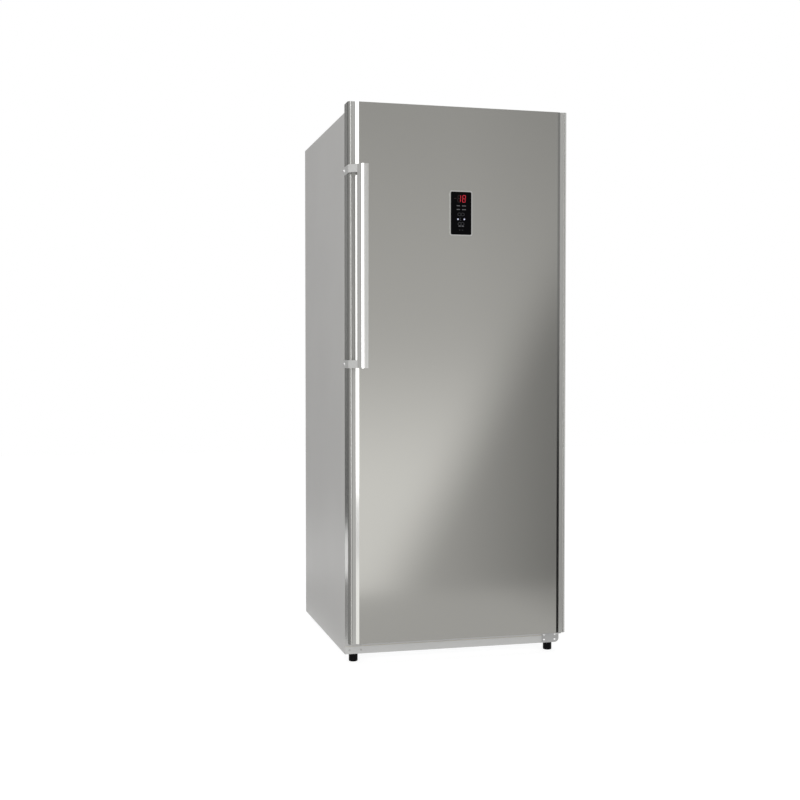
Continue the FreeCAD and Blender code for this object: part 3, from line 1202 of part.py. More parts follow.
def pieces():
    """Every node and its solids."""
    nodes = {
        "outer_shell": [outer_shell()],
        "back_panel": [back_panel()],
        "inner_liner": [inner_liner()],
        "cabinet_foam": [cabinet_foam()],
        "bottom_panel": [bottom_panel()],
        "kick_rail": [kick_rail()],
        "hinge_bracket_lower": [hinge_bracket_lower()],
        "hinge_bracket_upper": [hinge_bracket_upper()],
        "hinge_pins": hinge_pins(),
        "hinge_screws": hinge_screws(),
        "hole_plugs": hole_plugs(),
        "hinge_cover": [hinge_cover()],
        "shelf_trims": shelf_trims(),
        "drawer_rails": drawer_rails(),
        "air_duct_cover": [air_duct_cover()],
        "evaporator_coil": [evaporator_coil()],
        "evaporator_fins": evaporator_fins(),
        "defrost_heater": [defrost_heater()],
        "evaporator_fan_motor": [evaporator_fan_motor()],
        "evaporator_fan_blade": [evaporator_fan_blade()],
        "light_cover": [light_cover()],
        "compressor_base": [compressor_base()],
        "compressor_mounts": compressor_mounts(),
        "compressor": [compressor()],
        "drip_tray": [drip_tray()],
        "condenser_coil": condenser_coil(),
        "condenser_fan_shroud": [condenser_fan_shroud()],
        "condenser_fan_motor": [condenser_fan_motor()],
        "condenser_fan_blade": [condenser_fan_blade()],
        "control_box": [control_box()],
        "rear_cover": [rear_cover()],
        "cord_inlet": [cord_inlet()],
        "roller_brackets": [roller_bracket(-1), roller_bracket(1)],
        "rear_roller_left": [rear_roller(-1)],
        "rear_roller_right": [rear_roller(1)],
        "door_panel": [door_panel()],
        "door_profile_left": [edge_profile(-1)],
        "door_profile_right": [edge_profile(1)],
        "door_cap_top": [door_cap_top()],
        "door_cap_bottom": [door_cap_bottom()],
        "door_liner": [door_liner()],
        "door_foam": [door_foam()],
        "door_gasket": [door_gasket()],
        "hinge_bushes": hinge_bushes(),
        "display_bezel": [display_bezel()],
        "display_glass": [display_glass()],
        "handle_bar": [handle_bar()],
        "handle_brackets": handle_brackets(),
        "handle_screws": handle_screws(),
    }
    for name, (x, y) in zip(("front_foot_left", "front_foot_right"), foot_axes()):
        nodes[name] = [front_foot(x, y)]
    for name, place in zip(("drawer_lower", "drawer_upper"), drawer_boxes()):
        nodes[name] = [drawer(*place)]
    for i, z in enumerate(shelf_levels()):
        nodes[f"glass_shelf_{i + 1}"] = [glass_shelf(z)]
    for i, (z, height) in enumerate(zip(bin_feet(), BIN_HEIGHTS)):
        nodes[f"door_bin_{i + 1}"] = [door_bin(z, height)]
    return nodes


def write(nodes):
    os.makedirs("parts", exist_ok=True)
    for name, shapes in nodes.items():
        solids = [s for shape in shapes for s in shape.Solids]
        shape = solids[0] if len(solids) == 1 else Part.makeCompound(solids)
        shape.exportStep(f"parts/{name}.step")


write(pieces())
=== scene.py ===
"""Upright freezer with a stainless door: finishes, small marks, seal, lights and camera."""
import math

import bmesh
import bpy
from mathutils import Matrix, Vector


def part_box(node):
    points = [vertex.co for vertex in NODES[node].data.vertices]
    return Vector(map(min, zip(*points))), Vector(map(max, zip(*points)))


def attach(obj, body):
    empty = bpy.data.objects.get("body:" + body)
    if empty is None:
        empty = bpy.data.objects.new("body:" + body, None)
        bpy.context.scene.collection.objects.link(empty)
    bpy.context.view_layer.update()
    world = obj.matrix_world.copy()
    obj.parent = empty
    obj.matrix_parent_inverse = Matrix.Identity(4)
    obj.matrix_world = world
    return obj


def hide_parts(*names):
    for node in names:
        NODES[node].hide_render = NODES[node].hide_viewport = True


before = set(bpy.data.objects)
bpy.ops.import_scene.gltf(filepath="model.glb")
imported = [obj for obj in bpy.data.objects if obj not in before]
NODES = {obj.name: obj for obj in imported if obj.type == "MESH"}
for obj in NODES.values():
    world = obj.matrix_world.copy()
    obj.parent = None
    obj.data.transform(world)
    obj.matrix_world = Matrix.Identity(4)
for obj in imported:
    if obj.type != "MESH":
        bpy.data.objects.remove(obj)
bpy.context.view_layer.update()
MM = 0.001

# Camera: place in metres, turns in radians, lens and sensor in millimetres
CAMERA_PLACE = (-1.1307, -4.015, 0.9262)
CAMERA_YAW = 0.2507
CAMERA_PITCH = -0.0282
CAMERA_LENS = 55.2
CAMERA_SENSOR = 36.0

# Door's edge profiles: width across the front, and the shares of it, from the panel outwards,
# where ridge and flute end
PROFILE_WIDTH = 0.033
RIDGE_SHARE = 0.29
FLUTE_SHARE = 0.66
RIDGE_ROUGHNESS = 0.12
FLUTE_ROUGHNESS = 0.48
COLUMN_ROUGHNESS = 0.22

# Studio levels, where 1 renders as white
AMBIENT = 0.58
BACKDROP = 1.0
KEY_RADIANCE = 2.5
TOP_RADIANCE = 1.2
FLOOR_GLOW = 0.83
FLOOR_PAINT = 0.32


def grey(level):
    return (level, level, level, 1.0)


# Materials ------------------------------------------------------------------------------------

# Noise scale of lines drawn upright in metal
UPRIGHT_GRAIN = (2600.0, 2600.0, 60.0)
# Sockets of a Mix node that mixes colours
MIX_A, MIX_B, MIX_RESULT = 6, 7, 2


class Finish:
    """One material's node tree, with short calls for its procedural detail."""

    def __init__(self, name, colour, roughness, metallic=0.0):
        self.material = bpy.data.materials.new(name)
        self.material.use_nodes = True
        self.tree = self.material.node_tree
        self.shader = self.tree.nodes["Principled BSDF"]
        self.colour = colour
        self.roughness = roughness
        self.put("Base Color", (*colour, 1.0))
        self.put("Roughness", roughness)
        self.put("Metallic", metallic)
        self.place = self.add("ShaderNodeTexCoord").outputs["Object"]

    def add(self, kind, **settings):
        node = self.tree.nodes.new(kind)
        for key, value in settings.items():
            setattr(node, key, value)
        return node

    def put(self, socket, value):
        self.shader.inputs[socket].default_value = value

    def link(self, output, socket):
        self.tree.links.new(output, socket)

    def stretched(self, scale):
        """The place on the object times one scale, or times one each for X, Y and Z."""
        mapping = self.add("ShaderNodeMapping")
        mapping.inputs["Scale"].default_value = scale if isinstance(scale, tuple) else [scale] * 3
        self.link(self.place, mapping.inputs["Vector"])
        return mapping.outputs["Vector"]

    def noise(self, scale, detail=3.0, rough=0.55):
        node = self.add("ShaderNodeTexNoise")
        node.inputs["Scale"].default_value = 1.0
        node.inputs["Detail"].default_value = detail
        node.inputs["Roughness"].default_value = rough
        self.link(self.stretched(scale), node.inputs["Vector"])
        return node.outputs["Fac"]

    def spread(self, value, low, high, start=0.3, end=0.7):
        """Value between start and end, mapped to the range from low to high."""
        node = self.add("ShaderNodeMapRange")
        node.inputs["From Min"].default_value = start
        node.inputs["From Max"].default_value = end
        node.inputs["To Min"].default_value = low
        node.inputs["To Max"].default_value = high
        self.link(value, node.inputs["Value"])
        return node.outputs["Result"]

    def vary_colour(self, value, low, high):
        """Base colour scaled between low and high by a texture value."""
        factor = self.spread(value, 0.0, 1.0)
        mix = self.add("ShaderNodeMix", data_type="RGBA")
        self.link(factor, mix.inputs["Factor"])
        mix.inputs[MIX_A].default_value = (*[c * low for c in self.colour], 1.0)
        mix.inputs[MIX_B].default_value = (*[min(1.0, c * high) for c in self.colour], 1.0)
        self.link(mix.outputs[MIX_RESULT], self.shader.inputs["Base Color"])

    def vary_roughness(self, value, swing):
        low, high = self.roughness - swing, self.roughness + swing
        self.link(self.spread(value, low, high), self.shader.inputs["Roughness"])

    def bump(self, value, strength, depth):
        node = self.add("ShaderNodeBump")
        node.inputs["Strength"].default_value = strength
        node.inputs["Distance"].default_value = depth
        self.link(value, node.inputs["Height"])
        self.link(node.outputs["Normal"], self.shader.inputs["Normal"])


def painted(name, colour, roughness, peel=420.0):
    """Sheet-metal paint: slight orange peel under a satin face."""
    paint = Finish(name, colour, roughness)
    paint.put("Specular IOR Level", 0.4)
    paint.vary_colour(paint.noise(3.0), 0.98, 1.02)
    skin = paint.noise(peel, detail=2.0)
    paint.vary_roughness(skin, 0.05)
    paint.bump(skin, 0.06, 0.0004)
    return paint.material


def brushed(name, colour, roughness, grain, swing=0.03, strength=0.03, tone=0.02, metallic=1.0):
    """Metal with fine lines, or speckle where grain, the noise scale, is one number."""
    metal = Finish(name, colour, roughness, metallic)
    lines = metal.noise(grain, detail=5.0, rough=0.6)
    metal.vary_colour(lines, 1.0 - tone, 1.0 + tone)
    metal.vary_roughness(lines, swing)
    metal.bump(lines, strength, 0.0001)
    return metal.material


def edge_aluminium(name, half_width):
    """Satin column, matt flute and polished ridge, told apart by their distance from mid-door."""
    metal = Finish(name, (0.52, 0.52, 0.505), COLUMN_ROUGHNESS, metallic=1.0)
    split = metal.add("ShaderNodeSeparateXYZ")
    metal.link(metal.place, split.inputs[0])
    side = metal.add("ShaderNodeMath", operation="ABSOLUTE")
    metal.link(split.outputs["X"], side.inputs[0])
    share = metal.spread(side.outputs[0], 0.0, 1.0, half_width - PROFILE_WIDTH, half_width)
    level = metal.add("ShaderNodeValToRGB")
    ramp = level.color_ramp
    ramp.interpolation = "CONSTANT"
    ramp.elements[0].color = grey(RIDGE_ROUGHNESS)
    ramp.elements[1].position = RIDGE_SHARE
    ramp.elements[1].color = grey(FLUTE_ROUGHNESS)
    ramp.elements.new(FLUTE_SHARE).color = grey(COLUMN_ROUGHNESS)
    metal.link(share, level.inputs["Fac"])
    metal.link(level.outputs["Color"], metal.shader.inputs["Roughness"])
    lines = metal.noise(UPRIGHT_GRAIN, detail=5.0, rough=0.6)
    metal.vary_colour(lines, 0.98, 1.02)
    metal.bump(lines, 0.01, 0.0001)
    return metal.material


def plastic(name, colour, roughness, grain=500.0, tone=0.02, strength=0.05, shine=0.5):
    """Moulded plastic with a fine spark-eroded grain."""
    mould = Finish(name, colour, roughness)
    mould.put("Specular IOR Level", shine)
    skin = mould.noise(grain, detail=2.0)
    mould.vary_colour(mould.noise(6.0), 1.0 - tone, 1.0 + tone)
    mould.vary_roughness(skin, 0.04)
    mould.bump(skin, strength, 0.0003)
    return mould.material


def zinc(name):
    """Hot-dip zinc with its faint spangle."""
    metal = Finish(name, (0.57, 0.58, 0.59), 0.44, metallic=0.85)
    cells = metal.add("ShaderNodeTexVoronoi")
    metal.link(metal.stretched(240.0), cells.inputs["Vector"])
    cells.inputs["Scale"].default_value = 1.0
    tint = metal.add("ShaderNodeSeparateColor")
    metal.link(cells.outputs["Color"], tint.inputs["Color"])
    metal.vary_colour(tint.outputs["Red"], 0.955, 1.03)
    metal.vary_roughness(tint.outputs["Green"], 0.04)
    metal.bump(metal.noise(5.0), 0.25, 0.002)
    return metal.material


def clear(name, colour, roughness, weight, ior):
    """Clear moulded plastic or glass with faint flow marks."""
    glass = Finish(name, colour, roughness)
    glass.put("Transmission Weight", weight)
    glass.put("IOR", ior)
    flow = glass.noise((8.0, 8.0, 30.0), detail=2.0)
    glass.vary_colour(flow, 0.985, 1.01)
    glass.vary_roughness(flow, roughness * 0.4)
    return glass.material


def glowing(name, colour, strength):
    """A lit mark behind black glass, a little uneven as light guides are."""
    lamp = Finish(name, colour, 0.4)
    glow = lamp.noise(160.0, detail=1.0)
    lamp.put("Emission Color", (*colour, 1.0))
    lamp.link(lamp.spread(glow, strength * 0.85, strength), lamp.shader.inputs["Emission Strength"])
    return lamp.material


def make_finishes():
    return {
        "paint": painted("cabinet_paint", (0.46, 0.455, 0.445), 0.45),
        # Kick rail: the cabinet's paint made lighter, as painted light that makes up for the shade
        # under the door
        "rail": painted("rail_paint_lightened_for_shade", (0.535, 0.535, 0.525), 0.40),
        "bracket": painted("bracket_paint", (0.40, 0.40, 0.395), 0.36),
        "zinc": zinc("zinc_sheet"),
        "stainless": brushed("stainless_skin", (0.565, 0.56, 0.535), 0.15, UPRIGHT_GRAIN,
                             strength=0.02),
        "profile": edge_aluminium("profile_aluminium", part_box("door_profile_right")[1].x),
        "handle": brushed("handle_aluminium", (0.86, 0.86, 0.85), 0.13, UPRIGHT_GRAIN,
                          strength=0.01),
        "strap": brushed("strap_casting", (0.72, 0.72, 0.71), 0.36, 420.0, swing=0.08,
                         strength=0.5, tone=0.06, metallic=0.6),
        "fixing": brushed("plated_fixings", (0.88, 0.88, 0.88), 0.10, 300.0),
        "rim": brushed("rim_metal", (0.72, 0.72, 0.71), 0.18, UPRIGHT_GRAIN, strength=0.02),
        "plug": plastic("plug_plastic", (0.40, 0.40, 0.39), 0.45),
        "cap": plastic("cap_plastic", (0.46, 0.46, 0.455), 0.40),
        "liner": plastic("liner_plastic", (0.76, 0.77, 0.78), 0.22, grain=90.0, strength=0.02),
        "white": plastic("white_plastic", (0.78, 0.79, 0.80), 0.38),
        "clear": clear("clear_plastic", (0.90, 0.95, 0.97), 0.08, 0.9, 1.49),
        "glass": clear("shelf_glass", (0.86, 0.95, 0.92), 0.02, 1.0, 1.5),
        "lens": clear("light_lens", (0.93, 0.95, 0.97), 0.35, 0.6, 1.45),
        "foam": plastic("blown_foam", (0.76, 0.66, 0.42), 0.85, grain=160.0, tone=0.08),
        "seal": plastic("seal_rubber", (0.30, 0.305, 0.31), 0.62, grain=300.0),
        "foot": plastic("foot_plastic", (0.0025, 0.0025, 0.0028), 0.5, shine=0.06),
        "black": plastic("black_plastic", (0.012, 0.012, 0.013), 0.42, shine=0.3),
        "gloss": plastic("display_black", (0.0015, 0.0015, 0.002), 0.08, grain=30.0,
                         strength=0.01, shine=0.05),
        "rubber": plastic("black_rubber", (0.018, 0.018, 0.018), 0.72, grain=260.0,
                          strength=0.1),
        "compressor": painted("compressor_paint", (0.020, 0.020, 0.021), 0.30, peel=160.0),
        "condenser": painted("condenser_paint", (0.030, 0.030, 0.033), 0.42),
        "evaporator": brushed("evaporator_metal", (0.78, 0.79, 0.80), 0.35,
                              (200.0, 200.0, 20.0)),
        "heater": brushed("heater_metal", (0.45, 0.45, 0.45), 0.40, (20.0, 300.0, 300.0)),
        "bush": plastic("bush_plastic", (0.62, 0.62, 0.60), 0.5),
        "red": glowing("digit_red", (0.45, 0.010, 0.024), 0.7),
        "unlit": plastic("digit_unlit", (0.030, 0.016, 0.017), 0.30, shine=0.2),
        "mark": plastic("panel_mark", (0.11, 0.11, 0.115), 0.35, shine=0.2),
        "faint": plastic("panel_faint_mark", (0.045, 0.045, 0.048), 0.35, shine=0.2),
        "bright": glowing("panel_light", (0.42, 0.43, 0.55), 0.6),
    }


# Finish of each CAD node
CARRIED = {
    "paint": ["outer_shell"],
    # The kick rail takes the lightened paint, painted light for the shade under the door
    "rail": ["kick_rail"],
    "bracket": ["hinge_bracket_lower"],
    "zinc": ["back_panel", "bottom_panel", "compressor_base", "rear_cover", "roller_brackets",
             "condenser_fan_shroud", "hinge_bracket_upper"],
    "stainless": ["door_panel"],
    "profile": ["door_profile_left", "door_profile_right"],
    "handle": ["handle_bar"],
    "strap": ["handle_brackets"],
    "fixing": ["hinge_pins", "hinge_screws", "handle_screws"],
    "rim": ["display_bezel"],
    "plug": ["hole_plugs"],
    "cap": ["door_cap_top", "door_cap_bottom", "hinge_cover"],
    "liner": ["inner_liner", "door_liner"],
    "white": ["shelf_trims", "drawer_rails", "air_duct_cover", "evaporator_fan_blade"],
    "clear": ["drawer_upper", "drawer_lower", "door_bin_1", "door_bin_2", "door_bin_3",
              "door_bin_4"],
    "glass": ["glass_shelf_1", "glass_shelf_2", "glass_shelf_3"],
    "lens": ["light_cover"],
    "foam": ["cabinet_foam", "door_foam"],
    "seal": ["door_gasket"],
    "foot": ["front_foot_left", "front_foot_right"],
    "black": ["rear_roller_left", "rear_roller_right", "control_box", "drip_tray",
              "condenser_fan_blade"],
    "gloss": ["display_glass"],
    "rubber": ["compressor_mounts", "cord_inlet"],
    "compressor": ["compressor"],
    "condenser": ["condenser_coil"],
    "evaporator": ["evaporator_coil", "evaporator_fins"],
    "heater": ["defrost_heater", "evaporator_fan_motor", "condenser_fan_motor"],
    "bush": ["hinge_bushes"],
}


def dress_nodes(finishes):
    for key, names in CARRIED.items():
        for name in names:
            slots = NODES[name].data.materials
            slots.clear()
            slots.append(finishes[key])


# Pieces ---------------------------------------------------------------------------------------

def piece(name, mesh_maker, finish, body):
    """A named mesh piece made by mesh_maker, with its finish and its body."""
    made = bmesh.new()
    mesh_maker(made)
    bmesh.ops.recalc_face_normals(made, faces=made.faces)
    mesh = bpy.data.meshes.new(name)
    made.to_mesh(mesh)
    made.free()
    mesh.materials.append(finish)
    thing = bpy.data.objects.new(name, mesh)
    bpy.context.scene.collection.objects.link(thing)
    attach(thing, body)
    return thing


def flat_shape(made, outline, front, thickness):
    """A thin plate on the panel's glass: outline in X and Z, front face at front."""
    near = [made.verts.new((x, front, z)) for x, z in outline]
    far = [made.verts.new((x, front + thickness, z)) for x, z in outline]
    made.faces.new(near)
    made.faces.new(far[::-1])
    for i in range(len(outline)):
        j = (i + 1) % len(outline)
        made.faces.new((near[i], far[i], far[j], near[j]))


# Seven segments of a digit: side and level of its middle, and whether it stands upright
SEGMENTS = {
    "top": (0, 1, False), "middle": (0, 0, False), "bottom": (0, -1, False),
    "upper_left": (-1, 0.5, True), "upper_right": (1, 0.5, True),
    "lower_left": (-1, -0.5, True), "lower_right": (1, -0.5, True),
}
ONE_LIT = ("upper_right", "lower_right")
ONE_UNLIT = [name for name in SEGMENTS if name not in ONE_LIT]
DIGIT_WIDTH = 8.6 * MM
DIGIT_HEIGHT = 21.0 * MM
DIGIT_BAR = 1.5 * MM
DIGIT_GAP = 0.5 * MM
DIGIT_SLANT = 0.08
MARK_SHEET = 0.06 * MM

# Panel's marks, in millimetres: places from the middle of its glass as x, z
TENS = (-6.0, 45.0)
ONES = (9.5, 45.0)
MINUS = (-19.0, 45.5)
# x, z and length of each dash
DASHES = ((-9.0, 23.0, 10.5), (-9.0, 11.5, 10.5), (9.5, 23.0, 12.5), (9.5, 11.5, 12.5),
          (-4.5, -40.0, 7.5), (5.5, -40.0, 7.5))
DASH_HEIGHT = 2.6
# Icons in pairs left and right of the middle: height of the row, then size and line width
PAIR_X = 4.5
WIDE_RINGS = (-3.5, 7.0, 5.0, 1.3)
ROUND_RINGS = (-33.0, 6.0, 5.4, 1.5)
SHORT_BARS = (-52.0, 4.0, 1.6)
PUPIL = (0.0, -3.5, 2.6)
CRESCENT = (-0.5, -18.5, 4.4, 1.5)
CRESCENT_START, CRESCENT_SWEEP = 1.4, 3.6
DOTS = ((-10.0, -18.5), (10.5, -18.5))
DOT_RADIUS = 2.4


def segment(x, z, length, width, upright):
    """Six-sided bar of a seven-segment digit, centred at x, z."""
    half, edge = length / 2, width / 2
    points = [(-half, 0), (-half + edge, edge), (half - edge, edge), (half, 0),
              (half - edge, -edge), (-half + edge, -edge)]
    if upright:
        return [(x + b, z + a) for a, b in points]
    return [(x + a, z + b) for a, b in points]


def digit_outlines(x, z, wanted):
    """The wanted segments of one digit, with x, z at its middle."""
    across, tall = DIGIT_WIDTH / 2, DIGIT_HEIGHT / 2
    for name in wanted:
        side, level, upright = SEGMENTS[name]
        length = (tall if upright else 2 * across) - DIGIT_GAP
        lean = DIGIT_SLANT * level * tall
        yield segment(x + side * across + lean, z + level * tall, length, DIGIT_BAR, upright)


def ring(x, z, rx, rz, width, steps=28, start=0.0, sweep=2 * math.pi):
    """Quads of a flat ring or arc."""
    for i in range(steps):
        a, b = (start + sweep * k / steps for k in (i, i + 1))
        yield [(x + rx * math.cos(a), z + rz * math.sin(a)),
               (x + (rx - width) * math.cos(a), z + (rz - width) * math.sin(a)),
               (x + (rx - width) * math.cos(b), z + (rz - width) * math.sin(b)),
               (x + rx * math.cos(b), z + rz * math.sin(b))]


def bar(x, z, width, height):
    return [(x - width / 2, z - height / 2), (x + width / 2, z - height / 2),
            (x + width / 2, z + height / 2), (x - width / 2, z + height / 2)]


def disc(x, z, radius, steps=20):
    turn = 2 * math.pi / steps
    return [(x + radius * math.cos(i * turn), z + radius * math.sin(i * turn)) for i in range(steps)]


def icon_outlines(at):
    """Rings, bars and a crescent; at turns a place on the panel into x, z in metres."""
    x, z, radius = PUPIL
    yield disc(*at(x, z), radius * MM)
    for x in (-PAIR_X, PAIR_X):
        for z, rx, rz, width in (WIDE_RINGS, ROUND_RINGS):
            yield from ring(*at(x, z), rx * MM, rz * MM, width * MM)
        z, width, height = SHORT_BARS
        yield bar(*at(x, z), width * MM, height * MM)
    x, z, radius, width = CRESCENT
    yield from ring(*at(x, z), radius * MM, radius * MM, width * MM, start=CRESCENT_START,
                    sweep=CRESCENT_SWEEP)


def panel_marks(finishes):
    """Temperature digits and plain icons on the panel's glass."""
    low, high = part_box("display_glass")
    front = low.y - MARK_SHEET
    mid_x, mid_z = (low.x + high.x) / 2, (low.z + high.z) / 2

    def at(x, z):
        return mid_x + x * MM, mid_z + z * MM

    def marks(name, outlines, finish):
        def build(made):
            for outline in outlines:
                flat_shape(made, outline, front, MARK_SHEET)
        piece(name, build, finishes[finish], "door")

    marks("panel_digits", [*digit_outlines(*at(*TENS), ONE_LIT),
                           *digit_outlines(*at(*ONES), SEGMENTS)], "red")
    marks("panel_digits_unlit", [*digit_outlines(*at(*TENS), ONE_UNLIT),
                                 *digit_outlines(*at(*MINUS), ["middle"])], "unlit")
    marks("panel_dashes", [bar(*at(x, z), length * MM, DASH_HEIGHT * MM)
                           for x, z, length in DASHES], "mark")
    marks("panel_icons", icon_outlines(at), "faint")
    marks("panel_dots", [disc(*at(*place), DOT_RADIUS * MM) for place in DOTS], "bright")


# Outline of the seal's section: distance in from its outer edge, in metres, and share of the
# way from the door to the cabinet
SEAL_SECTION = ((0.000, 0.05), (0.000, 0.30), (0.0012, 0.42), (0.0002, 0.55), (0.0006, 0.80),
                (0.0022, 0.97), (0.0050, 1.00), (0.0085, 0.92), (0.0100, 1.00), (0.0140, 1.00),
                (0.0162, 0.90), (0.0176, 0.70), (0.0166, 0.52), (0.0178, 0.36), (0.0180, 0.05))


def seal_ring(finishes):
    """Bellows seal run round the door with mitred corners, in the plain seal's place."""
    low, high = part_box("door_gasket")

    def build(made):
        loops = []
        for inward, share in SEAL_SECTION:
            y = low.y + share * (high.y - low.y)
            x0, x1 = low.x + inward, high.x - inward
            z0, z1 = low.z + inward, high.z - inward
            loops.append([made.verts.new(p) for p in
                          ((x0, y, z0), (x1, y, z0), (x1, y, z1), (x0, y, z1))])
        for i, near in enumerate(loops):
            far = loops[(i + 1) % len(loops)]
            for j in range(4):
                k = (j + 1) % 4
                made.faces.new((near[j], near[k], far[k], far[j]))

    seal = piece("seal_bellows", build, finishes["seal"], "door")
    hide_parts("door_gasket")


# Camera, lamps and world ----------------------------------------------------------------------

# Lamps: place, the point that they face, width and height
KEY_LAMP = ((-2.20, -3.75, 1.7), (-0.2, -0.3, 1.0), 1.35, 3.2)
TOP_LAMP = ((0.0, -0.2, 3.6), (0.0, -0.2, 0.0), 2.6, 2.6)


def make_camera():
    data = bpy.data.cameras.new("camera")
    data.lens = CAMERA_LENS
    data.sensor_width = CAMERA_SENSOR
    camera = bpy.data.objects.new("camera", data)
    camera.location = CAMERA_PLACE
    camera.rotation_euler = (math.pi / 2 + CAMERA_PITCH, 0.0, -CAMERA_YAW)
    bpy.context.scene.collection.objects.link(camera)
    bpy.context.scene.camera = camera


def soft_box(name, place, target, width, height, radiance):
    """Rectangular lamp of this radiance, which the camera doesn't see."""
    data = bpy.data.lights.new(name, "AREA")
    data.shape = "RECTANGLE"
    data.size = width
    data.size_y = height
    data.energy = math.pi * radiance * width * height
    lamp = bpy.data.objects.new(name, data)
    lamp.location = place
    aim = Vector(target) - Vector(place)
    lamp.rotation_euler = aim.to_track_quat("-Z", "Y").to_euler()
    lamp.visible_camera = False
    bpy.context.scene.collection.objects.link(lamp)


def seen_directly(tree):
    """1 for camera, glossy and transmission rays, which see the backdrop."""
    path = tree.nodes.new("ShaderNodeLightPath")
    total = path.outputs["Is Camera Ray"]
    for name in ("Is Glossy Ray", "Is Transmission Ray"):
        either = tree.nodes.new("ShaderNodeMath")
        either.operation = "MAXIMUM"
        tree.links.new(total, either.inputs[0])
        tree.links.new(path.outputs[name], either.inputs[1])
        total = either.outputs["Value"]
    return total


def make_world():
    world = bpy.data.worlds.new("studio")
    world.use_nodes = True
    tree = world.node_tree
    tree.nodes.clear()
    out = tree.nodes.new("ShaderNodeOutputWorld")
    mix = tree.nodes.new("ShaderNodeMixShader")
    tree.links.new(seen_directly(tree), mix.inputs["Fac"])
    for slot, level in ((1, AMBIENT), (2, BACKDROP)):
        light = tree.nodes.new("ShaderNodeBackground")
        light.inputs["Strength"].default_value = level
        light.inputs["Color"].default_value = grey(1.0)
        tree.links.new(light.outputs[0], mix.inputs[slot])
    tree.links.new(mix.outputs[0], out.inputs["Surface"])
    bpy.context.scene.world = world


# Floor, and the sheets that only metal and gloss mirror ---------------------------------------

FLOOR_REACH = 9.0
SHEET_LIFT = 0.002
FLAG_HEIGHT = 2.6
FLAG_LEFT = -3.3
FLAG_RIGHT = 3.0
REAR_FLAG_SPLIT = (-1.7, 2.14)
SHEET_TINT = (1.0, 0.995, 0.975, 1.0)

# Board in front of the door, and its distance from the door's face as a share of the camera's
BOARD_Y = -1.5
BOARD_LEFT, BOARD_RIGHT = -0.40, 1.05
BOARD_HEIGHT = 2.3
DOOR_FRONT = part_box("door_panel")[0].y
MIRROR_SHARE = (DOOR_FRONT - BOARD_Y) / (DOOR_FRONT - CAMERA_PLACE[1])
SHADE_SLOPE = 1.8

# Sheets on the floor: corners as x, y
APRON_CORNERS = ((BOARD_LEFT, BOARD_Y), (0.80, BOARD_Y), (0.80, -0.90), (0.40, -0.5),
                 (BOARD_LEFT, -0.5))
LEFT_FLOOR_CORNERS = ((-0.42, -0.42), (-2.6, -3.2), (FLAG_LEFT, -3.2), (FLAG_LEFT, 1.2),
                      (-0.42, 1.2))
LEFT_GLOW_CORNERS = ((-0.36, -0.5), (-0.80, -2.2), (-2.0, -2.2), (-0.50, -0.5))
RIGHT_FLOOR_CORNERS = ((0.42, -0.50), (0.82, -0.92), (0.82, -3.0), (FLAG_RIGHT, -3.0),
                       (FLAG_RIGHT, -1.2), (0.60, -0.45))


def floor_material():
    """White floor: it glows a little below white, and its paint takes the object's shadow."""
    material = bpy.data.materials.new("floor")
    material.use_nodes = True
    tree = material.node_tree
    tree.nodes.clear()
    out = tree.nodes.new("ShaderNodeOutputMaterial")
    glow = tree.nodes.new("ShaderNodeEmission")
    glow.inputs["Strength"].default_value = FLOOR_GLOW
    paint = tree.nodes.new("ShaderNodeBsdfDiffuse")
    paint.inputs["Color"].default_value = grey(FLOOR_PAINT)
    both = tree.nodes.new("ShaderNodeAddShader")
    tree.links.new(glow.outputs[0], both.inputs[0])
    tree.links.new(paint.outputs[0], both.inputs[1])
    tree.links.new(both.outputs[0], out.inputs["Surface"])
    return material


class Glow:
    """A glowing material whose level may change with the place on its sheet."""

    def __init__(self, name):
        self.material = bpy.data.materials.new(name)
        self.material.use_nodes = True
        self.tree = self.material.node_tree
        self.tree.nodes.clear()
        place = self.tree.nodes.new("ShaderNodeTexCoord")
        split = self.tree.nodes.new("ShaderNodeSeparateXYZ")
        self.tree.links.new(place.outputs["Object"], split.inputs[0])
        self.x, self.z = split.outputs["X"], split.outputs["Z"]

    def fill(self, socket, value):
        if isinstance(value, float):
            socket.default_value = value
        else:
            self.tree.links.new(value, socket)

    def work_out(self, operation, a, b):
        node = self.tree.nodes.new("ShaderNodeMath")
        node.operation = operation
        self.fill(node.inputs[0], a)
        self.fill(node.inputs[1], b)
        return node.outputs[0]

    def ramp(self, value, span, levels, kind="SMOOTHSTEP"):
        """From the first level to the second as value runs over the span."""
        node = self.tree.nodes.new("ShaderNodeMapRange")
        node.interpolation_type = kind
        self.fill(node.inputs["Value"], value)
        for name, number in zip(("From Min", "From Max", "To Min", "To Max"), (*span, *levels)):
            self.fill(node.inputs[name], number)
        return node.outputs["Result"]

    def on_door(self, value, camera_value):
        """Where on the door's face the camera sees this x or z of the board."""
        shifted = self.work_out("ADD", value, MIRROR_SHARE * camera_value)
        return self.work_out("DIVIDE", shifted, 1.0 + MIRROR_SHARE)

    def finish(self, level):
        glow = self.tree.nodes.new("ShaderNodeEmission")
        glow.inputs["Color"].default_value = SHEET_TINT
        self.fill(glow.inputs["Strength"], level)
        out = self.tree.nodes.new("ShaderNodeOutputMaterial")
        self.tree.links.new(glow.outputs[0], out.inputs["Surface"])
        return self.material


def even_glow(name, level):
    return Glow(name).finish(level)


def rising_glow(name, foot, head):
    """Dark at the floor and lighter with height."""
    glow = Glow(name)
    return glow.finish(glow.ramp(glow.z, (0.1, 1.7), (foot, head)))


def apron_glow():
    """Darker towards the right."""
    glow = Glow("mirrored_apron")
    return glow.finish(glow.ramp(glow.x, (0.40, 0.80), (0.56, 0.38)))


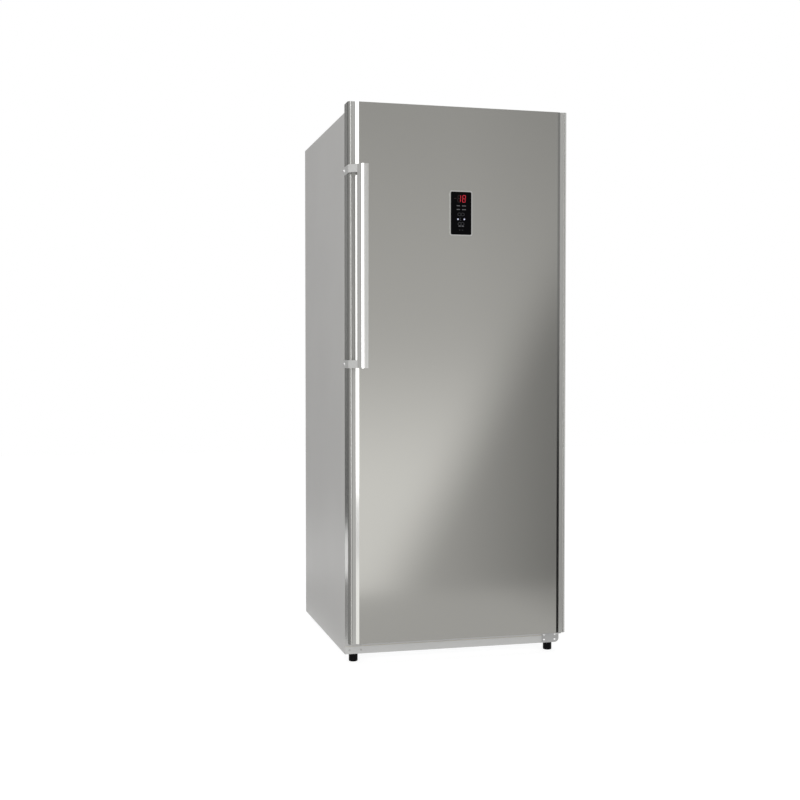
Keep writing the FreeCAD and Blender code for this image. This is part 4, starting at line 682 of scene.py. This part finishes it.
def board_glow():
    """Light lower left corner and a dark slanting half that climbs to the right."""
    glow = Glow("mirrored_board")
    x = glow.on_door(glow.x, CAMERA_PLACE[0])
    z = glow.on_door(glow.z, CAMERA_PLACE[2])
    height_over_slant = glow.work_out("SUBTRACT", z, glow.work_out("MULTIPLY", x, SHADE_SLOPE))
    light = glow.work_out("ADD", glow.ramp(z, (1.75, 1.05), (0.48, 0.62), "LINEAR"),
                          glow.ramp(z, (1.10, 0.50), (0.0, 0.36)))
    dark = glow.work_out("ADD", glow.ramp(x, (-0.25, 0.32), (0.54, 0.33), "LINEAR"),
                         glow.ramp(z, (0.95, 1.5), (0.0, 0.14)))
    level = glow.ramp(height_over_slant, (0.40, 0.86), (dark, light))
    right_fall = glow.ramp(x, (0.0, 0.33), (0.0, -0.07), "LINEAR")
    return glow.finish(glow.work_out("ADD", level, right_fall))


def stage_sheet(name, corners, material):
    mesh = bpy.data.meshes.new(name)
    mesh.from_pydata(corners, [], [tuple(range(len(corners)))])
    mesh.materials.append(material)
    sheet = bpy.data.objects.new(name, mesh)
    bpy.context.scene.collection.objects.link(sheet)
    return sheet


def upright_sheet(name, start, end, material, height=FLAG_HEIGHT):
    return stage_sheet(name, [(*start, 0.0), (*end, 0.0), (*end, height), (*start, height)],
                       material)


def floor_sheet(name, corners, material):
    return stage_sheet(name, [(x, y, SHEET_LIFT) for x, y in corners], material)


def only_reflected(sheet):
    for kind in ("camera", "diffuse", "shadow", "volume_scatter", "transmission"):
        setattr(sheet, f"visible_{kind}", False)


def make_floor():
    far = FLOOR_REACH
    stage_sheet("floor", [(-far, -far, 0), (far, -far, 0), (far, far, 0), (-far, far, 0)],
                floor_material())


def make_mirrored_sheets():
    """Light and dark sheets that give the metal its bands."""
    sheets = [
        upright_sheet("mirrored_board", (BOARD_LEFT, BOARD_Y), (BOARD_RIGHT, BOARD_Y),
                      board_glow(), BOARD_HEIGHT),
        floor_sheet("mirrored_apron", APRON_CORNERS, apron_glow()),
        upright_sheet("left_flag", (FLAG_LEFT, -3.9), (FLAG_LEFT, 0.6),
                      even_glow("flag_left", 0.44)),
        floor_sheet("left_floor_flag", LEFT_FLOOR_CORNERS, even_glow("flag_floor_left", 0.32)),
        floor_sheet("left_floor_glow", LEFT_GLOW_CORNERS, even_glow("glow_floor_left", 1.5)),
        upright_sheet("rear_flag_dark", (FLAG_LEFT, 0.6), REAR_FLAG_SPLIT,
                      even_glow("flag_rear", 0.15)),
        upright_sheet("rear_flag_light", REAR_FLAG_SPLIT, (-0.6, 3.2),
                      rising_glow("flag_rear_light", 0.16, 0.28)),
        upright_sheet("right_flag", (FLAG_RIGHT, -3.6), (FLAG_RIGHT, -1.2),
                      rising_glow("flag_right", 0.02, 0.34)),
        floor_sheet("right_floor_flag", RIGHT_FLOOR_CORNERS, even_glow("flag_floor", 0.02)),
    ]
    for sheet in sheets:
        only_reflected(sheet)


def main():
    finishes = make_finishes()
    dress_nodes(finishes)
    panel_marks(finishes)
    seal_ring(finishes)
    make_camera()
    make_world()
    make_floor()
    make_mirrored_sheets()
    soft_box("key", *KEY_LAMP, KEY_RADIANCE)
    soft_box("overhead", *TOP_LAMP, TOP_RADIANCE)
    bpy.context.scene.view_settings.view_transform = "Standard"


main()
